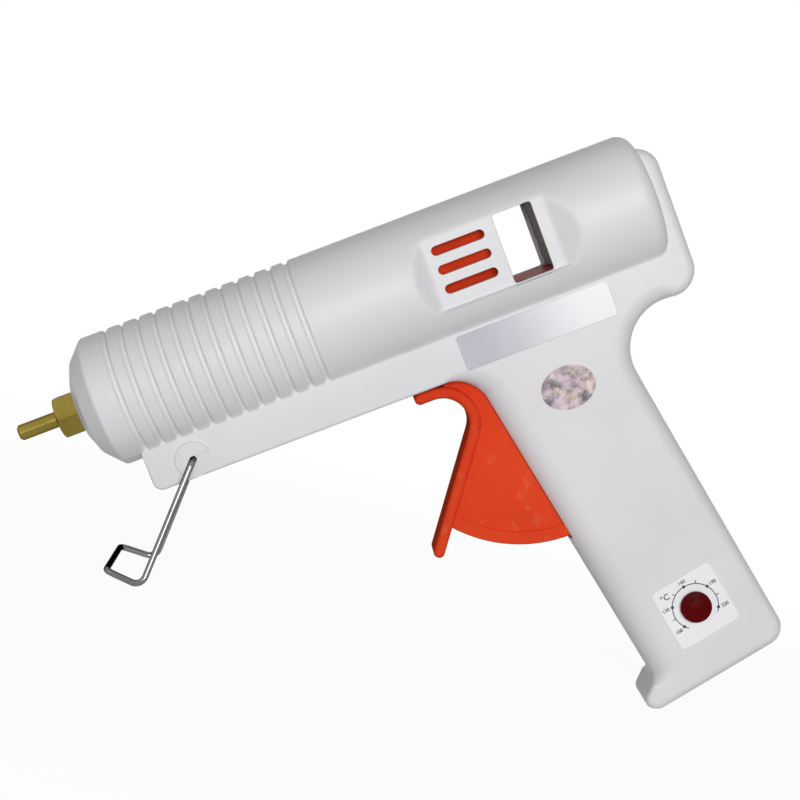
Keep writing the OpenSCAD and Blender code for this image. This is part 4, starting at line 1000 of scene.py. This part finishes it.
finish("jaw_steel", rgb(120, 120, 124), rgb(92, 92, 98), 0.28, 0.45, grain_scale=700, bump=0.15, Metallic=1.0)
finish("guide_black", rgb(40, 40, 42), rgb(28, 28, 30), 0.4, 0.55, grain_scale=1000, bump=0.15)
finish("board_green", rgb(34, 92, 58), rgb(26, 74, 48), 0.3, 0.45, grain_scale=1200, bump=0.1,
       drift_scale=120)
finish("component_blue", rgb(48, 76, 122), rgb(38, 62, 102), 0.25, 0.4)
finish("lead_sleeving", rgb(220, 210, 186), rgb(190, 178, 150), 0.6, 0.8, grain_scale=2200, bump=0.5,
       drift_scale=400, Sheen_Weight=0.2)

# %% [markdown]
# ## Springs
# The valve's spring is pressed and the carriage's is drawn out, so neither can ride on one body. Each is a
# helix with straight legs, drawn as a curve with a round section. Its two ends lie at two bodies, but it is
# attached to neither and stays where it is set down. Its length is taken from the CAD node that it stands for.

# %% Springs
PER_TURN = 16


def coil_spring(name, node, turns, radius, wire, leg, front_body, rear_body):
    to_barrel = TO_TABLE.inverted()
    places = [to_barrel @ vert.co for vert in frame["nodes"][node].data.vertices]
    first, last = min(at.x for at in places) + leg, max(at.x for at in places) - leg
    level = (min(at.z for at in places) + max(at.z for at in places)) / 2
    steps, lead = PER_TURN * turns, PER_TURN / 2
    points = [(first - leg, 0, level)]
    for k in range(steps + 1):
        angle, reach = math.tau * k / PER_TURN, radius * min(1, k / lead, (steps - k) / lead)
        x = first + (last - first) * k / steps
        points.append((x, reach * math.sin(angle), level + reach * math.cos(angle)))
    points.append((last + leg, 0, level))
    line = bpy.data.curves.new(name, "CURVE")
    line.dimensions, line.bevel_depth, line.bevel_resolution, line.use_fill_caps = "3D", wire, 2, True
    spline = line.splines.new("POLY")
    spline.points.add(len(points) - 1)
    for point, at in zip(spline.points, points):
        point.co = (*at, 1)
    drawn = bpy.data.objects.new(name + "_line", line)
    bm = bmesh.new()
    bm.from_mesh(bpy.data.meshes.new_from_object(drawn))
    bpy.data.objects.remove(drawn)
    span = [TO_TABLE @ Vector((x, 0, level)) for x in (first, last)]
    finished(name, outward(merged(bm)), "spring_steel", None, [node],
             bends=(front_body, rear_body, *span))


coil_spring("valve_coil", "valve_spring", 9, 2.2, 0.3, 0.7, "housing", "valve")
coil_spring("carriage_coil", "return_spring", 18, 2.1, 0.4, 4.4, "carriage", "housing")

# %% [markdown]
# ## Pieces that the CAD model has right
# The meshes of the pins, the chamber, the board and the rest are true. They stay, and get a finish each.

# %% CAD pieces
kept = 0
for sub in frame["record"]["subparts"]:
    if sub["node"] in replaced:
        continue
    mesh = frame["nodes"][sub["node"]].data
    mesh.materials.clear()
    mesh.materials.append(looks["feed_orange" if sub["node"] == "jaw_pin" else sub["material_slot"]])
    kept += 1
print("CAD pieces with a finish:", kept)

# %% [markdown]
# ## Camera, floor and light
# The photograph was taken from the left, a little above, with the picture turned so that the barrel falls
# less steeply. A camera 0.5 m away with a long lens gives that perspective. The floor and the world are
# white for the camera and in reflections, and the floor still takes the shadow.

# %% Camera
CAMERA_AT, LOOK_AT, PICTURE_TILT = Vector((93, -512, 32)), Vector((89.9, 0, -31.1)), math.radians(20.6)
FOCAL_PIXELS, PICTURE_PIXELS, SENSOR_MM = 1714, 800, 36
eye, aim = TO_TABLE @ CAMERA_AT, TO_TABLE @ LOOK_AT
back = (eye - aim).normalized()
picture_up = TO_TABLE.to_3x3() @ Vector((math.sin(PICTURE_TILT), 0, math.cos(PICTURE_TILT)))
right = picture_up.cross(back).normalized()
top = back.cross(right)
camera_data = bpy.data.cameras.new("photo_camera")
camera_data.sensor_width = SENSOR_MM
camera_data.lens = SENSOR_MM * FOCAL_PIXELS / PICTURE_PIXELS
camera = in_scene("photo_camera", camera_data)
camera.matrix_world = Matrix([[right[i], top[i], back[i], eye[i]] for i in range(3)] + [[0, 0, 0, 1]])
scene.camera = camera
print("lens", round(camera_data.lens, 1), "mm")

# %% [markdown]
# Round the tool the floor keeps a little of its own tone, so that the shadow shows. It whitens with the
# distance from there, which leaves no line where it meets the world.

# %% Floor and world
FLOOR_HALF, FLOOR_TONE, WHITE, ROOM_LIGHT = 4.0, (0.74, 0.74, 0.74, 1), (1, 1, 1, 1), 0.105
SHADE_FROM, SHADE_TO, NEAR_SHARE, FAR_SHARE = 0.10, 0.34, 0.95, 1.0
floor_mesh = bmesh.new()
bmesh.ops.create_grid(floor_mesh, x_segments=2, y_segments=2, size=FLOOR_HALF)
floor = in_scene("floor", as_mesh(floor_mesh, "floor"))


def white_to_the_eye(tree, output, lit, white, share):
    """Shows plain white in place of a lit shader to rays from the camera, a mirror or glass."""
    path = add_node(tree, "LightPath").outputs
    seen = path["Is Camera Ray"]
    for title in ("Is Glossy Ray", "Is Transmission Ray"):
        seen = maths(tree, "MAXIMUM", seen, path[title])
    mix = add_node(tree, "MixShader", {"Fac": maths(tree, "MULTIPLY", seen, share), 1: lit, 2: white})
    tree.links.new(mix.outputs["Shader"], tree.nodes[output].inputs["Surface"])


pale = bpy.data.materials.new("pale_floor")
pale.use_nodes = True
tree = pale.node_tree
tree.nodes.remove(tree.nodes["Principled BSDF"])
matt = add_node(tree, "BsdfDiffuse", {"Color": FLOOR_TONE}).outputs["BSDF"]
glow = add_node(tree, "Emission").outputs["Emission"]
away = add_node(tree, "VectorMath", {0: position(tree)}, operation="LENGTH").outputs["Value"]
whiter = add_node(tree, "MapRange", {"Value": away, "From Min": SHADE_FROM, "From Max": SHADE_TO,
                                     "To Min": NEAR_SHARE, "To Max": FAR_SHARE}).outputs["Result"]
white_to_the_eye(tree, "Material Output", matt, glow, whiter)
floor.data.materials.append(pale)

world = bpy.data.worlds.new("studio")
scene.world = world
world.use_nodes = True
tree = world.node_tree
room = tree.nodes["Background"]
room.inputs["Color"].default_value = WHITE
room.inputs["Strength"].default_value = ROOM_LIGHT
white = add_node(tree, "Background", {"Color": WHITE}).outputs["Background"]
white_to_the_eye(tree, "World Output", room.outputs["Background"], white, 1.0)


# %% Lamps
def soft_lamp(name, at, aim, size, power):
    data = bpy.data.lights.new(name, "AREA")
    data.shape = "RECTANGLE"
    data.size, data.size_y = size
    data.energy = power
    lamp = in_scene(name, data)
    lamp.location = at
    lamp.rotation_euler = (Vector(aim) - Vector(at)).to_track_quat("-Z", "Y").to_euler()


soft_lamp("front_box", (0.04, -1.3, 0.36), (0.0, 0, 0.08), (0.8, 0.6), 13.3)
soft_lamp("left_fill", (-1.1, -0.6, 0.5), (0.0, 0, 0.08), (0.6, 0.8), 0.8)
scene.view_settings.view_transform = "Standard"
